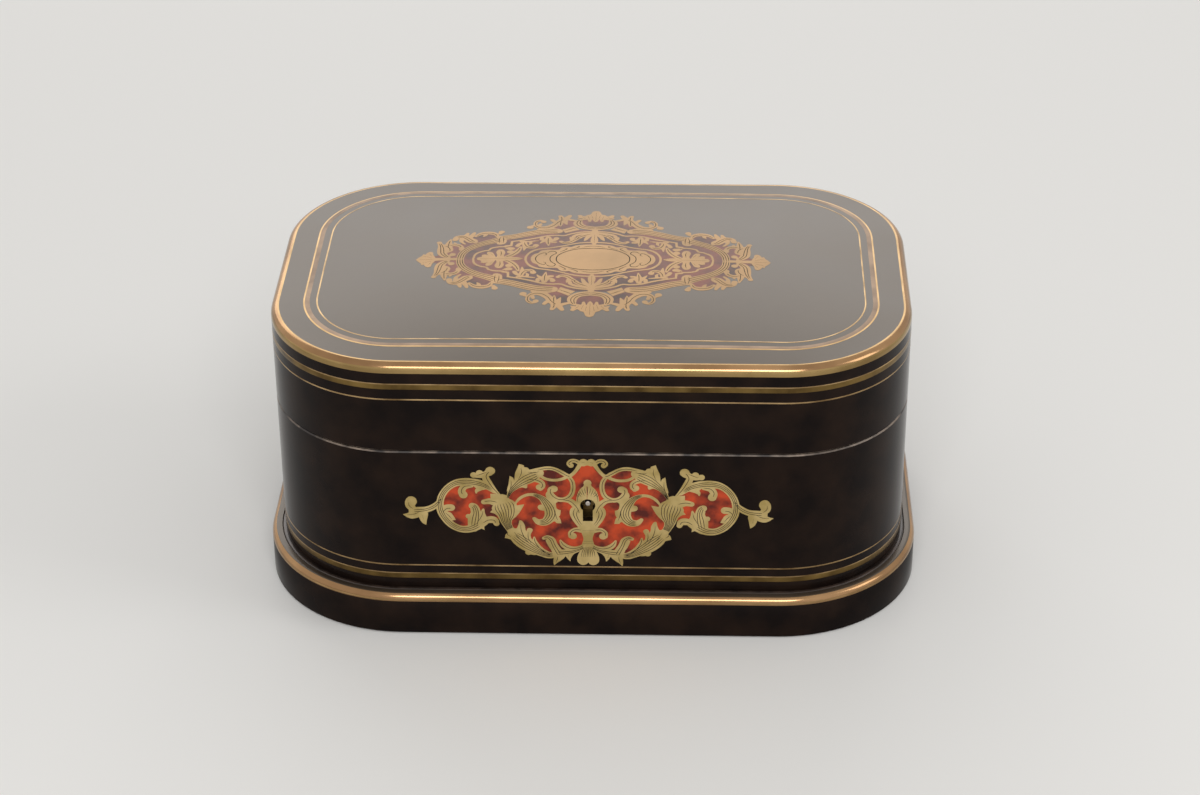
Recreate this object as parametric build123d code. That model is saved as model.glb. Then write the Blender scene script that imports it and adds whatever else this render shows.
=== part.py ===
"""Ebonised jewelry casket with brass stringing, a shell-and-brass front panel and lid medallion.

Frame: origin on the surface it stands on, at the middle of the plan. +X is to the viewer's right
along the length, -Y is the front, +Z is up. Sizes are millimetres.
"""
from build123d import *
import math
import os

# Case: outer plan, walls and heights
CASE_LENGTH = 260.0
CASE_DEPTH = 163.0
CORNER_RADIUS = 53.5
WALL = 10.0
RIM_Z = 83.65
JOINT_GAP = 0.3
RIM_BEVEL = 0.5
BAIZE_THICK = 1.2
BOTTOM_THICK = 8.0

# Plinth round the foot and its brass quarter round
PLINTH_PROUD = 5.8
PLINTH_HEIGHT = 15.6
PLINTH_STEP_WIDTH = 1.6
PLINTH_STEP_HEIGHT = 3.2
PLINTH_ROUND_RADIUS = 2.8

# Lid: edge height, dome, brass edge moulding
LID_EDGE_HEIGHT = 39.55
LID_BOARD_THICK = 8.0
DOME_RISE = 4.4
MOULDING_WIDTH = 3.36
MOULDING_HEIGHT = 4.0
MOULDING_RADIUS = 3.1

# Brass stringing let into the wood
INLAY_DEPTH = 0.8
INLAY_PROUD = 0.05
BAND_WIDTH = 2.6
LINE_WIDTH = 0.6
TOP_BAND_INSET = 13.2
TOP_LINE_INSET = 18.5
LID_BAND_BELOW_EDGE = 9.9
LID_LINE_BELOW_EDGE = 15.8
CASE_BAND_Z = 24.7
CASE_LINE_Z = 29.7

# Front marquetry and lid medallion
PANEL_MIDDLE_Z = 56.5
FRET_HALF_LENGTH = 73.0
SHELL_THICK = 0.6
FRET_THICK = 0.3
MEDALLION_HALF_LENGTH = 73.0
MEDALLION_HALF_DEPTH = 45.0

# Keyhole and lock
KEYHOLE_BELOW_RIM = 24.4
KEYHOLE_RADIUS = 3.05
KEYHOLE_SLOT_WIDTH = 4.0
KEYHOLE_SLOT_DROP = 7.4
LOCK_LENGTH = 42.0
LOCK_DROP = 32.5
LOCK_SHEET = 0.8
LOCK_PLATE = 1.2
LOCK_POCKET = 7.0
SELVEDGE_LENGTH = 58.0
SELVEDGE_WIDTH = 8.0
SELVEDGE_THICK = 1.4
BOLT_THROW = 4.0
BOLT_PLAY = 0.2
BOLT_HEIGHT = 6.0
BOLT_LEFT_X = -17.0
BOLT_RIGHT_X = 14.0
BOLT_NOTCH_LEFT_X = -3.0
BOLT_NOTCH_RIGHT_X = 2.0
BOLT_NOTCH_HEIGHT = 2.0
BOLT_ABOVE_KEYHOLE = 5.3
GUIDE_LEFT_X = (-16.0, -12.5)
GUIDE_RIGHT_X = (6.0, 8.5)
GUIDE_HEIGHT = 2.0
DRILL_PIN_RADIUS = 1.25
DRILL_PIN_SET_BACK = 1.2
PLATE_MARGIN = 5.0
PLATE_BELOW = 3.0
EYE_THICK = 1.6
EYE_SILL = 1.3
EYE_WIDTH = 4.0
EYE_DROP = 11.2
EYE_WINDOW = 4.2
EYE_PLACES = (-5.0, 11.0)
PRONG_THICK = 2.0
PRONG_HEIGHT = 3.0
PRONG_ROOT = 4.0
PRONG_GAP = 0.5
STRIKER_LENGTH = 48.0
SPRING_THICK = 0.5
SPRING_WIDTH = 3.0

# Stop hinges
HINGE_PLACE = 52.0
HINGE_LENGTH = 32.0
HINGE_KNUCKLES = 5
HINGE_AXIS_PROUD = 1.5
KNUCKLE_RADIUS = 2.0
HINGE_PIN_RADIUS = 0.8
PIN_CLEARANCE = 0.05
KNUCKLE_CLEARANCE = 0.15
LEAF_THICK = 1.3
LEAF_DEPTH = 7.5
OPEN_ANGLE = 95.0
STOP_REACH = 4.6
STOP_THICK = 1.1

# Screws
SCREW_RADIUS = 0.8
SCREW_HEAD_RADIUS = 1.6
SCREW_LENGTH = 8.0
LOCK_SCREW_LENGTH = 5.5

# Silk linings and the lift-out tray
LINING_THICK = 2.0
LEDGE_THICK = 5.0
LEDGE_HEIGHT = 42.8
LINING_BELOW_RIM = 3.6
LID_LINING_THICK = 1.6
PAD_CLEARANCE = 0.3
BASE_PAD_THICK = 5.0
LID_PAD_THICK = 6.0
TUFT_RADIUS = 5.0
TUFT_DEPTH = 1.6
TUFT_PITCH_X = 36.0
TUFT_PITCH_Y = 30.0
TRAY_CLEARANCE = 2.2
TRAY_HEIGHT = 23.0
TRAY_WALL = 3.0
TRAY_BOTTOM = 2.5
TRAY_PAD = 3.0
DIVIDER_THICK = 2.0
DIVIDER_BELOW_RIM = 2.5
LONG_DIVIDER_Y = 12.0
REAR_DIVIDER_X = 40.0
FRONT_DIVIDER_X = 57.0
ROLL_COUNT = 6
ROLL_HEIGHT = 14.0
ROLL_GAP = 0.5
TAB_WIDTH = 10.0
TAB_LOOP = 4.0
TAB_RISE = 9.0
TAB_GLUED = 11.0
RIBBON_THICK = 0.6

# Worked out from the sizes above
HALF_DEPTH = CASE_DEPTH / 2
FLOOR_Z = BAIZE_THICK + BOTTOM_THICK
LID_Z = RIM_Z + JOINT_GAP
EDGE_Z = LID_Z + LID_EDGE_HEIGHT
LID_CEILING_Z = EDGE_Z - LID_BOARD_THICK
MOULDING_Z = EDGE_Z - MOULDING_HEIGHT
KEYHOLE_Z = RIM_Z - KEYHOLE_BELOW_RIM
LEDGE_TOP_Z = FLOOR_Z + LEDGE_HEIGHT
TRAY_Z = LEDGE_TOP_Z + PAD_CLEARANCE
TRAY_INSET = WALL + LINING_THICK + TRAY_CLEARANCE
TRAY_INNER = TRAY_INSET + TRAY_WALL
INNER_FRONT_Y = -(HALF_DEPTH - WALL)
LOCK_BACK_Y = INNER_FRONT_Y - LOCK_PLATE
LOCK_FRONT_Y = INNER_FRONT_Y - LOCK_POCKET
LOCK_MIDDLE_Y = (LOCK_BACK_Y + LOCK_FRONT_Y + LOCK_SHEET) / 2
SELVEDGE_Z = RIM_Z - SELVEDGE_THICK
PRONG_LENGTH = BOLT_THROW + EYE_THICK + 0.1
LOCK_BOTTOM_Z = RIM_Z - LOCK_DROP
PLATE_HALF = LOCK_LENGTH / 2 + PLATE_MARGIN
PLATE_BOTTOM_Z = LOCK_BOTTOM_Z - PLATE_BELOW
HINGE_Y = HALF_DEPTH + HINGE_AXIS_PROUD
HINGE_Z = RIM_Z + JOINT_GAP / 2


def board(inset, low, high):
    """A flat board with the case's rounded plan, drawn in by inset from the outer wall face."""
    plan = RectangleRounded(
        CASE_LENGTH - 2 * inset, CASE_DEPTH - 2 * inset, CORNER_RADIUS - inset
    )
    return extrude(Pos(0, 0, low) * plan, high - low)


def ring(outer, inner, low, high):
    """A hoop between two insets of the case's plan."""
    return board(outer, low, high) - board(inner, low - 1, high + 1)


def block(low_corner, high_corner):
    """A box given by its two corners."""
    size = [high - low for low, high in zip(low_corner, high_corner)]
    middle = [(high + low) / 2 for low, high in zip(low_corner, high_corner)]
    return Pos(*middle) * Box(*size)


def rod_x(radius, x_low, x_high, y, z):
    """A round rod along X."""
    return Pos((x_low + x_high) / 2, y, z) * Rot(0, 90, 0) * Cylinder(radius, x_high - x_low)


def rod_y(radius, y_low, y_high, x, z):
    """A round rod along Y."""
    return Pos(x, (y_low + y_high) / 2, z) * Rot(90, 0, 0) * Cylinder(radius, y_high - y_low)


def outer_edges(shape, z):
    """The edges of a hoop or board that lie at height z on its outermost outline."""
    level = [edge for edge in shape.edges() if abs(edge.center().Z - z) < 0.01]
    level = [edge for edge in level if abs(edge.bounding_box().size.Z) < 0.01]
    reach = max(edge.center().Y for edge in level)
    wire_edges = []
    for wire in [face.outer_wire() for face in shape.faces() if abs(face.center().Z - z) < 0.01]:
        if abs(wire.bounding_box().max.Y - reach) < 0.01:
            wire_edges = wire.edges()
    return wire_edges


def wood_screw(length, with_slot=True):
    """A countersunk screw, head up at the origin, shank down."""
    head_height = SCREW_HEAD_RADIUS - SCREW_RADIUS
    profile = Polyline(
        (0, 0), (SCREW_HEAD_RADIUS, 0), (SCREW_RADIUS, -head_height),
        (SCREW_RADIUS, -length + SCREW_RADIUS), (0, -length), (0, 0),
    )
    screw = revolve(Plane.XZ * make_face(profile), Axis.Z)
    if with_slot:
        screw -= Box(2 * SCREW_HEAD_RADIUS, 0.4, 0.6)
    return screw


def screws_at(places, length, with_slot=True):
    """Screws as separate solids at a list of locations."""
    return [place * wood_screw(length, with_slot) for place in places]


def cut_all(shape, tools):
    """Cut a list of solids out of a shape."""
    for tool in tools:
        shape = shape - tool
    return shape


def dome_layer(lift, thickness):
    """A layer of the lid's domed top: its upper face lies lift above the wood, and it is cut level."""
    length = CASE_LENGTH / 2 - MOULDING_WIDTH
    depth = HALF_DEPTH - MOULDING_WIDTH
    plan = RectangleRounded(2 * length, 2 * depth, CORNER_RADIUS - MOULDING_WIDTH)
    rim = (Pos(0, 0, EDGE_Z + lift) * plan).wire()
    points = []
    for across in (-0.6, 0, 0.6):
        for along in (-0.65, 0, 0.65):
            rise = DOME_RISE * (1 - abs(along) ** 2.5) * (1 - across ** 2)
            points.append((along * length, across * depth, EDGE_Z + lift + rise))
    skin = Face.make_surface(rim, surface_points=points)
    return extrude(skin, thickness, dir=(0, 0, -1))


def band_on_dome(inset, width):
    """A brass strip let into the domed top, following it."""
    strip = ring(inset, inset + width, MOULDING_Z, EDGE_Z + 2 * DOME_RISE)
    return dome_layer(INLAY_PROUD, INLAY_DEPTH + INLAY_PROUD) & strip


def keyhole(y_low, y_high):
    """The keyhole's shape, cut along Y."""
    slot = block(
        (-KEYHOLE_SLOT_WIDTH / 2, y_low, KEYHOLE_Z - KEYHOLE_SLOT_DROP),
        (KEYHOLE_SLOT_WIDTH / 2, y_high, KEYHOLE_Z),
    )
    return rod_y(KEYHOLE_RADIUS, y_low, y_high, 0, KEYHOLE_Z) + slot


def stroke(points, widths):
    """One brass scroll as a flat face: a ribbon along a smooth line that tapers to its end."""
    line = Spline(*points)
    count = len(points)
    left = []
    right = []
    for index in range(count):
        share = index / (count - 1)
        point = line @ share
        tangent = line % share
        across = Vector(-tangent.Y, tangent.X)
        half = (widths[0] + (widths[1] - widths[0]) * math.sin(share * math.pi / 2)) / 2
        left.append(point + across * half)
        right.append(point - across * half)
    outline = Spline(*left) + Line(left[-1], right[-1]) + Spline(*reversed(right))
    outline += Line(right[0], left[0])
    return make_face(outline)


def both_sides(faces):
    """The faces and their mirror images in the middle line."""
    return list(faces) + [mirror(face, Plane.YZ) for face in faces]


def fused(faces):
    """Flat faces joined into one sketch."""
    return Sketch() + faces


def front_fret_plan():
    """The brass fret of the front, drawn flat: x along the case, y up from the panel's middle.

    It is drawn 73 units to each side and then scaled to the fret's half length.
    """
    unit = FRET_HALF_LENGTH / 73
    scrolls = [
        (((-3.5, 19.5), (-8, 15.5), (-13, 19), (-20, 19.5), (-27, 17), (-32, 9.5)), (2.6, 1.8)),
        (((-6.5, 13), (-5.5, 6), (-9.5, 1.5), (-15, 4), (-14, 9)), (1.8, 3.4)),
        (((-31, 1), (-24, 6.5), (-17, 2), (-16, -5), (-20, -9), (-24, -6.5)), (1.6, 2.8)),
        (((-33, 9), (-34.5, 0), (-33, -8), (-28, -15.5), (-20, -20.5), (-14, -23.2)), (5.5, 4.0)),
        (((-33, 6), (-40, 12.5), (-50, 11), (-58, 3), (-57, -7), (-50, -12.5), (-42, -10)), (4.0, 3.4)),
        (((-57, 1), (-63, -2), (-69, -1.5), (-71.5, 3)), (2.2, 4.6)),
        (((-62, -3), (-68, -4), (-73, -4)), (4.5, 1.2)),
        (((-39, -6.5), (-45, -8), (-47, -1)), (3.0, 3.6)),
        (((-13, -24), (-6, -20), (-3, -17)), (4.6, 3.0)),
        (((-38, 12), (-37, 16), (-35.5, 18.5)), (3.4, 4.4)),
    ]
    faces = both_sides([stroke(points, widths) for points, widths in scrolls])
    rise = (KEYHOLE_Z - PANEL_MIDDLE_Z) / unit
    faces.append(Pos(0, rise) * Ellipse(6.2, 9.0))
    faces.append(Pos(0, rise - 9) * Ellipse(5.0, 6.0))
    faces.append(Pos(0, rise + 10) * Circle(1.6))
    faces.append(Pos(0, rise - 17) * Rectangle(5.4, 7))
    faces += both_sides([Pos(-2.2, rise - 23.6) * Ellipse(2.6, 4.6)])
    faces += both_sides([Pos(-5.6, 22.6) * Circle(2.1), Pos(-1.6, 22.6) * Circle(2.3)])
    return scale(fused(faces), unit)


def on_front(plan, y_low, y_high):
    """A flat drawing stood up on the front wall, between two depths."""
    face_plane = Plane(origin=(0, y_high, PANEL_MIDDLE_Z), x_dir=(1, 0, 0), z_dir=(0, -1, 0))
    return extrude(face_plane * plan, y_high - y_low)


def silhouette(plan):
    """The drawing with its openings filled."""
    return fused([Face(face.outer_wire()) for face in plan.faces()])


def cartouche(share):
    """The lozenge with waved sides that frames the medallion, at a share of its full size."""
    length = MEDALLION_HALF_LENGTH * share
    depth = MEDALLION_HALF_DEPTH * share
    quarter = [(1.0, 0.0), (0.9, 0.42), (0.52, 0.6), (0.26, 0.84), (0.0, 0.94)]
    points = [(length * x, depth * y) for x, y in quarter]
    points += [(-x, y) for x, y in reversed(points[:-1])]
    points += [(x, -y) for x, y in reversed(points[1:-1])]
    return make_face(Spline(*points, periodic=True))


def medallion_plan():
    """The medallion's brass: outer and inner frames, the middle plate and four crests."""
    frames = (cartouche(0.82) - cartouche(0.72)) + (cartouche(0.62) - cartouche(0.585))
    plate = Ellipse(MEDALLION_HALF_LENGTH * 0.27, MEDALLION_HALF_DEPTH * 0.31)
    inner = cartouche(0.40) - cartouche(0.365)
    crests = []
    for side in (-1, 1):
        crests.append(Pos(side * MEDALLION_HALF_LENGTH * 0.89, 0) * Ellipse(8.0, 5.5))
        crests.append(Pos(0, side * MEDALLION_HALF_DEPTH * 0.85) * Ellipse(7.0, 6.7))
    return fused(frames.faces() + inner.faces() + plate.faces() + [crest.face() for crest in crests])


def medallion_ground_plan():
    """The dark ground that the medallion's brass lies in."""
    return fused([cartouche(0.80)] + [face for face in silhouette(medallion_plan()).faces()])


def hinge_rods(radius, own):
    """Rods at the knuckles of the lower leaf (own is 0) or of the upper leaf (own is 1)."""
    step = HINGE_LENGTH / HINGE_KNUCKLES
    rods = []
    for index in range(own, HINGE_KNUCKLES, 2):
        low = -HINGE_LENGTH / 2 + index * step
        rods.append((low, low + step, radius))
    return rods


def hinge_leaf(upper):
    """A leaf let into a rim, its knuckles and its stop lug, with the axis along X at the origin."""
    own = 1 if upper else 0
    sign = 1 if upper else -1
    near = sign * JOINT_GAP / 2
    far = near + sign * LEAF_THICK
    half = HINGE_LENGTH / 2
    plate = block((-half, -HINGE_AXIS_PROUD - LEAF_DEPTH, min(near, far)), (half, 0, max(near, far)))
    lean = math.radians(OPEN_ANGLE / 2)
    along = Vector(0, math.cos(lean), sign * math.sin(lean))
    away = Vector(0, -math.sin(lean), sign * math.cos(lean))
    corners = [
        along * 1.4 + away * 0.03, along * STOP_REACH + away * 0.03,
        along * STOP_REACH + away * STOP_THICK, along * 1.4 + away * STOP_THICK,
    ]
    lug_face = make_face(Polyline(*[Vector(-half, corner.Y, corner.Z) for corner in corners], close=True))
    leaf = plate + extrude(lug_face, HINGE_LENGTH, dir=(1, 0, 0))
    gap = KNUCKLE_CLEARANCE / 2
    for low, high, radius in hinge_rods(KNUCKLE_RADIUS + KNUCKLE_CLEARANCE, 1 - own):
        leaf -= rod_x(radius, low - gap, high + gap, 0, 0)
    for low, high, radius in hinge_rods(KNUCKLE_RADIUS, own):
        leaf += rod_x(radius, low + gap, high - gap, 0, 0)
    bore = HINGE_PIN_RADIUS + (PIN_CLEARANCE if upper else 0)
    leaf -= rod_x(bore, -half - 1, half + 1, 0, 0)
    return leaf


def hinge_screw_places(upper):
    """Two screws in each leaf, one hinge at each side."""
    face_z = LID_Z if upper else RIM_Z
    turn = Rot(180, 0, 0) if upper else Rot(0, 0, 0)
    places = []
    for side in (-1, 1):
        for shift in (-HINGE_LENGTH / 3, HINGE_LENGTH / 3):
            x = side * HINGE_PLACE + shift
            places.append(Pos(x, HALF_DEPTH - LEAF_DEPTH * 0.6, face_z) * turn)
    return places


def hinge_room():
    """The room cut in the case and lid for the leaves and knuckles of both hinges."""
    rooms = []
    reach = KNUCKLE_RADIUS + 0.25
    half = HINGE_LENGTH / 2
    for side in (-1, 1):
        x = side * HINGE_PLACE
        rooms.append(rod_x(reach, x - half - 0.2, x + half + 0.2, HINGE_Y, HINGE_Z))
        rooms.append(block(
            (x - half, HALF_DEPTH - LEAF_DEPTH, RIM_Z - LEAF_THICK),
            (x + half, HALF_DEPTH + 1, LID_Z + LEAF_THICK),
        ))
    return rooms


def case_walls(fret_outline):
    """The bent and veneered wall of the case, with its mortises, grooves and keyhole."""
    walls = ring(0, WALL, 0, RIM_Z)
    walls = chamfer(outer_edges(walls, RIM_Z), RIM_BEVEL)
    walls -= ring(-1, INLAY_DEPTH, CASE_BAND_Z - BAND_WIDTH / 2, CASE_BAND_Z + BAND_WIDTH / 2)
    walls -= ring(-1, INLAY_DEPTH, CASE_LINE_Z - LINE_WIDTH / 2, CASE_LINE_Z + LINE_WIDTH / 2)
    recess = FRET_THICK - INLAY_PROUD + SHELL_THICK
    walls -= on_front(fret_outline, -HALF_DEPTH - 1, -HALF_DEPTH + recess)
    walls -= keyhole(-HALF_DEPTH - 1, LOCK_FRONT_Y + 1)
    walls -= lock_room()
    walls = cut_all(walls, hinge_room())
    walls = cut_all(walls, screws_at(hinge_screw_places(False), SCREW_LENGTH, False))
    walls = cut_all(walls, screws_at(lock_screw_places(), LOCK_SCREW_LENGTH, False))
    return cut_all(walls, screws_at(selvedge_screw_places(), SCREW_LENGTH, False))


def plinth():
    """The ebonised skirt round the foot, with a narrow step behind the brass."""
    skirt = ring(-PLINTH_PROUD, 0, 0, PLINTH_HEIGHT)
    step_top = PLINTH_HEIGHT + PLINTH_STEP_HEIGHT
    step = ring(-PLINTH_STEP_WIDTH, 0, PLINTH_HEIGHT, step_top)
    step = fillet(outer_edges(step, step_top), PLINTH_STEP_WIDTH / 2)
    return skirt + step


def plinth_moulding():
    """The brass quarter round on the plinth's edge."""
    top = PLINTH_HEIGHT + PLINTH_STEP_HEIGHT
    strip = ring(-PLINTH_PROUD, -PLINTH_STEP_WIDTH, PLINTH_HEIGHT, top - INLAY_PROUD)
    return fillet(outer_edges(strip, top - INLAY_PROUD), PLINTH_ROUND_RADIUS)


def case_inlay(z, width):
    """A brass strip let into the outer face of the case wall."""
    return ring(-INLAY_PROUD, INLAY_DEPTH, z - width / 2, z + width / 2)


def lid_walls():
    """The lid's wall, with its grooves and the mortises for the hinges and the striker."""
    walls = ring(0, WALL, LID_Z, LID_CEILING_Z)
    walls = chamfer(outer_edges(walls, LID_Z), RIM_BEVEL)
    for below, width in ((LID_BAND_BELOW_EDGE, BAND_WIDTH), (LID_LINE_BELOW_EDGE, LINE_WIDTH)):
        z = EDGE_Z - below
        walls -= ring(-1, INLAY_DEPTH, z - width / 2, z + width / 2)
    walls = cut_all(walls, hinge_room())
    walls -= striker_flat()
    walls = cut_all(walls, screws_at(hinge_screw_places(True), SCREW_LENGTH, False))
    return cut_all(walls, screws_at(striker_screw_places(), SCREW_LENGTH, False))


def lid_top_board(medallion_outline):
    """The lid's board: flat beneath, slightly domed above, grooved for the brass and medallion."""
    level = board(0, LID_CEILING_Z, MOULDING_Z)
    dome = dome_layer(0, 3 * DOME_RISE)
    keep = board(MOULDING_WIDTH, MOULDING_Z, EDGE_Z + 2 * DOME_RISE)
    top = level + (dome & keep)
    top -= band_on_dome(TOP_BAND_INSET, BAND_WIDTH)
    top -= band_on_dome(TOP_LINE_INSET, LINE_WIDTH)
    return top - medallion_room(medallion_outline)


def medallion_room(outline):
    """The shallow recess that the medallion lies in."""
    prism = extrude(Pos(0, 0, MOULDING_Z) * outline, 6 * DOME_RISE)
    return dome_layer(INLAY_PROUD, INLAY_DEPTH + INLAY_PROUD) & prism


def medallion_brass(plan):
    """The medallion's brass, a thin fret that follows the dome."""
    prism = extrude(Pos(0, 0, MOULDING_Z) * plan, 6 * DOME_RISE)
    return dome_layer(INLAY_PROUD, FRET_THICK) & prism


def medallion_ground(outline):
    """The ground under the medallion's brass."""
    prism = extrude(Pos(0, 0, MOULDING_Z) * outline, 6 * DOME_RISE)
    lift = INLAY_PROUD - FRET_THICK
    return dome_layer(lift, INLAY_DEPTH + lift) & prism


def lid_edge_moulding():
    """The brass quarter round on the lid's edge."""
    strip = ring(0, MOULDING_WIDTH, MOULDING_Z, EDGE_Z)
    return fillet(outer_edges(strip, EDGE_Z), MOULDING_RADIUS)


def lock_room():
    """The pocket in the front wall for the lock's plate, case and selvedge."""
    half_case = LOCK_LENGTH / 2
    half_selvedge = SELVEDGE_LENGTH / 2
    case = block((-half_case, LOCK_FRONT_Y, LOCK_BOTTOM_Z), (half_case, INNER_FRONT_Y + 1, RIM_Z + 1))
    plate = block((-PLATE_HALF, LOCK_BACK_Y, PLATE_BOTTOM_Z), (PLATE_HALF, INNER_FRONT_Y + 1, RIM_Z + 1))
    selvedge = block(
        (-half_selvedge, INNER_FRONT_Y - SELVEDGE_WIDTH, SELVEDGE_Z),
        (half_selvedge, INNER_FRONT_Y + 1, RIM_Z + 1),
    )
    return case + plate + selvedge


def eye_slots():
    """The slots in the selvedge that the striker's eyes come down through."""
    slots = []
    half_width = EYE_WIDTH / 2 + 0.7
    for x in EYE_PLACES:
        slots.append(block(
            (x - EYE_THICK / 2 - 0.4, LOCK_MIDDLE_Y - half_width, SELVEDGE_Z - 1),
            (x + EYE_THICK / 2 + 0.4, LOCK_MIDDLE_Y + half_width, RIM_Z + 1),
        ))
    return slots


def lock_screw_places():
    """Four screws through the lock's plate into the wood."""
    x = LOCK_LENGTH / 2 + 2.6
    turn = Rot(-90, 0, 0)
    heights = (LOCK_BOTTOM_Z + 1, SELVEDGE_Z - 9)
    return [Pos(side * x, INNER_FRONT_Y, z) * turn for side in (-1, 1) for z in heights]


def selvedge_screw_places():
    """Two screws down through the selvedge."""
    x = SELVEDGE_LENGTH / 2 - 2.6
    y = INNER_FRONT_Y - SELVEDGE_WIDTH / 2
    return [Pos(side * x, y, RIM_Z) for side in (-1, 1)]


def striker_screw_places():
    """Two screws up through the striker into the lid."""
    x = STRIKER_LENGTH / 2 - 3.5
    y = INNER_FRONT_Y - SELVEDGE_WIDTH / 2
    return [Pos(side * x, y, LID_Z) * Rot(180, 0, 0) for side in (-1, 1)]


def lock_plate():
    """The lock's back plate and selvedge, one bent brass plate."""
    half_selvedge = SELVEDGE_LENGTH / 2
    plate = block((-PLATE_HALF, LOCK_BACK_Y, PLATE_BOTTOM_Z), (PLATE_HALF, INNER_FRONT_Y, SELVEDGE_Z))
    plate += block(
        (-half_selvedge, INNER_FRONT_Y - SELVEDGE_WIDTH, SELVEDGE_Z),
        (half_selvedge, INNER_FRONT_Y, RIM_Z),
    )
    plate = cut_all(plate, eye_slots())
    plate = cut_all(plate, screws_at(lock_screw_places(), LOCK_SCREW_LENGTH, False))
    return cut_all(plate, screws_at(selvedge_screw_places(), SCREW_LENGTH, False))


def bolt_low_z():
    """The bolt bar's lower edge, just above the barrel of the key."""
    return KEYHOLE_Z + BOLT_ABOVE_KEYHOLE


def lock_case():
    """The lock's shallow case, open to the back plate, with its keyhole and the bolt's two guides."""
    half = LOCK_LENGTH / 2
    case = block((-half, LOCK_FRONT_Y, LOCK_BOTTOM_Z), (half, LOCK_BACK_Y, SELVEDGE_Z))
    case -= block(
        (-half + LOCK_SHEET, LOCK_FRONT_Y + LOCK_SHEET, LOCK_BOTTOM_Z + LOCK_SHEET),
        (half - LOCK_SHEET, LOCK_BACK_Y + 1, SELVEDGE_Z + 1),
    )
    guide_top = bolt_low_z() - BOLT_PLAY / 2
    guide_low = guide_top - GUIDE_HEIGHT
    for low, high in (GUIDE_LEFT_X, GUIDE_RIGHT_X):
        case += block((low, LOCK_FRONT_Y, guide_low), (high, LOCK_BACK_Y, guide_top))
    return case - keyhole(LOCK_FRONT_Y - 1, LOCK_FRONT_Y + 2)


def lock_bolt():
    """The sliding bolt, unlocked: a bar with the key's notch and two prongs that enter the eyes."""
    low = bolt_low_z()
    top = low + BOLT_HEIGHT
    y_low = LOCK_FRONT_Y + LOCK_SHEET + BOLT_PLAY
    y_high = LOCK_BACK_Y - BOLT_PLAY
    bolt = block((BOLT_LEFT_X, y_low, low), (BOLT_RIGHT_X, y_high, top))
    bolt -= block(
        (BOLT_NOTCH_LEFT_X, y_low - 1, low - 1),
        (BOLT_NOTCH_RIGHT_X, y_high + 1, low + BOLT_NOTCH_HEIGHT),
    )
    prong_z = LID_Z - EYE_DROP + EYE_SILL + EYE_WINDOW / 2
    prong_low = prong_z - PRONG_HEIGHT / 2
    prong_top = prong_low + PRONG_HEIGHT
    front = LOCK_MIDDLE_Y - PRONG_THICK / 2
    back = LOCK_MIDDLE_Y + PRONG_THICK / 2
    for x in EYE_PLACES:
        tip = x - EYE_THICK / 2 - PRONG_GAP
        root = tip - PRONG_LENGTH
        bolt += block((root - PRONG_ROOT, front, top), (root, back, prong_top))
        bolt += block((root, front, prong_low), (tip, back, prong_top))
    return bolt


def lock_pin():
    """The round pin that the key's barrel fits over."""
    tip_y = -HALF_DEPTH + DRILL_PIN_SET_BACK
    pin = rod_y(DRILL_PIN_RADIUS, tip_y, LOCK_BACK_Y, 0, KEYHOLE_Z)
    return fillet(pin.edges().sort_by(Axis.Y)[0], DRILL_PIN_RADIUS / 2)


def lock_spring():
    """The bent steel spring in the lock's corner, pressing up under the bolt."""
    x = LOCK_LENGTH / 2 - LOCK_SHEET - 0.3
    low = LOCK_BOTTOM_Z + LOCK_SHEET
    high = bolt_low_z() - BOLT_PLAY / 2
    path = Spline((x, low), (x - 1.5, low + 7), (x - 5.5, high - 1.2), (x - 9, high - 0.3))
    strip = thick_line(path, SPRING_THICK)
    plane = Plane(origin=(0, LOCK_MIDDLE_Y + 1.5, 0), x_dir=(1, 0, 0), z_dir=(0, -1, 0))
    return extrude(plane * strip, SPRING_WIDTH)


def thick_line(line, thickness):
    """A flat strip of even thickness along a line."""
    left = []
    right = []
    for index in range(7):
        share = index / 6
        tangent = line % share
        across = Vector(-tangent.Y, tangent.X) * (thickness / 2)
        left.append((line @ share) + across)
        right.append((line @ share) - across)
    outline = Spline(*left) + Line(left[-1], right[-1]) + Spline(*reversed(right))
    return make_face(outline + Line(right[0], left[0]))


def striker_flat():
    """The striker's flat plate, let into the lid's rim."""
    half = STRIKER_LENGTH / 2
    return block(
        (-half, INNER_FRONT_Y - SELVEDGE_WIDTH, LID_Z),
        (half, INNER_FRONT_Y, LID_Z + SELVEDGE_THICK),
    )


def striker():
    """The striker with its two hanging eyes."""
    plate = striker_flat()
    half = EYE_WIDTH / 2
    for x in EYE_PLACES:
        eye = block(
            (x - EYE_THICK / 2, LOCK_MIDDLE_Y - half, LID_Z - EYE_DROP),
            (x + EYE_THICK / 2, LOCK_MIDDLE_Y + half, LID_Z),
        )
        window_low = LID_Z - EYE_DROP + EYE_SILL
        eye -= block(
            (x - EYE_THICK, LOCK_MIDDLE_Y - PRONG_THICK / 2 - 0.2, window_low),
            (x + EYE_THICK, LOCK_MIDDLE_Y + PRONG_THICK / 2 + 0.2, window_low + EYE_WINDOW),
        )
        plate += eye
    return cut_all(plate, screws_at(striker_screw_places(), SCREW_LENGTH, False))


def case_wall_lining():
    """Silk over card against the case's inner walls, with a window for the lock's plate."""
    lining = ring(WALL, WALL + LINING_THICK, FLOOR_Z, RIM_Z - LINING_BELOW_RIM)
    deep = INNER_FRONT_Y + 2 * LINING_THICK
    return lining - block((-PLATE_HALF, INNER_FRONT_Y - 1, PLATE_BOTTOM_Z), (PLATE_HALF, deep, RIM_Z))


def tray_ledge():
    """The thicker lower lining, on whose top edge the tray stands."""
    outer = WALL + LINING_THICK
    return ring(outer, outer + LEDGE_THICK, FLOOR_Z, LEDGE_TOP_Z)


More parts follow.
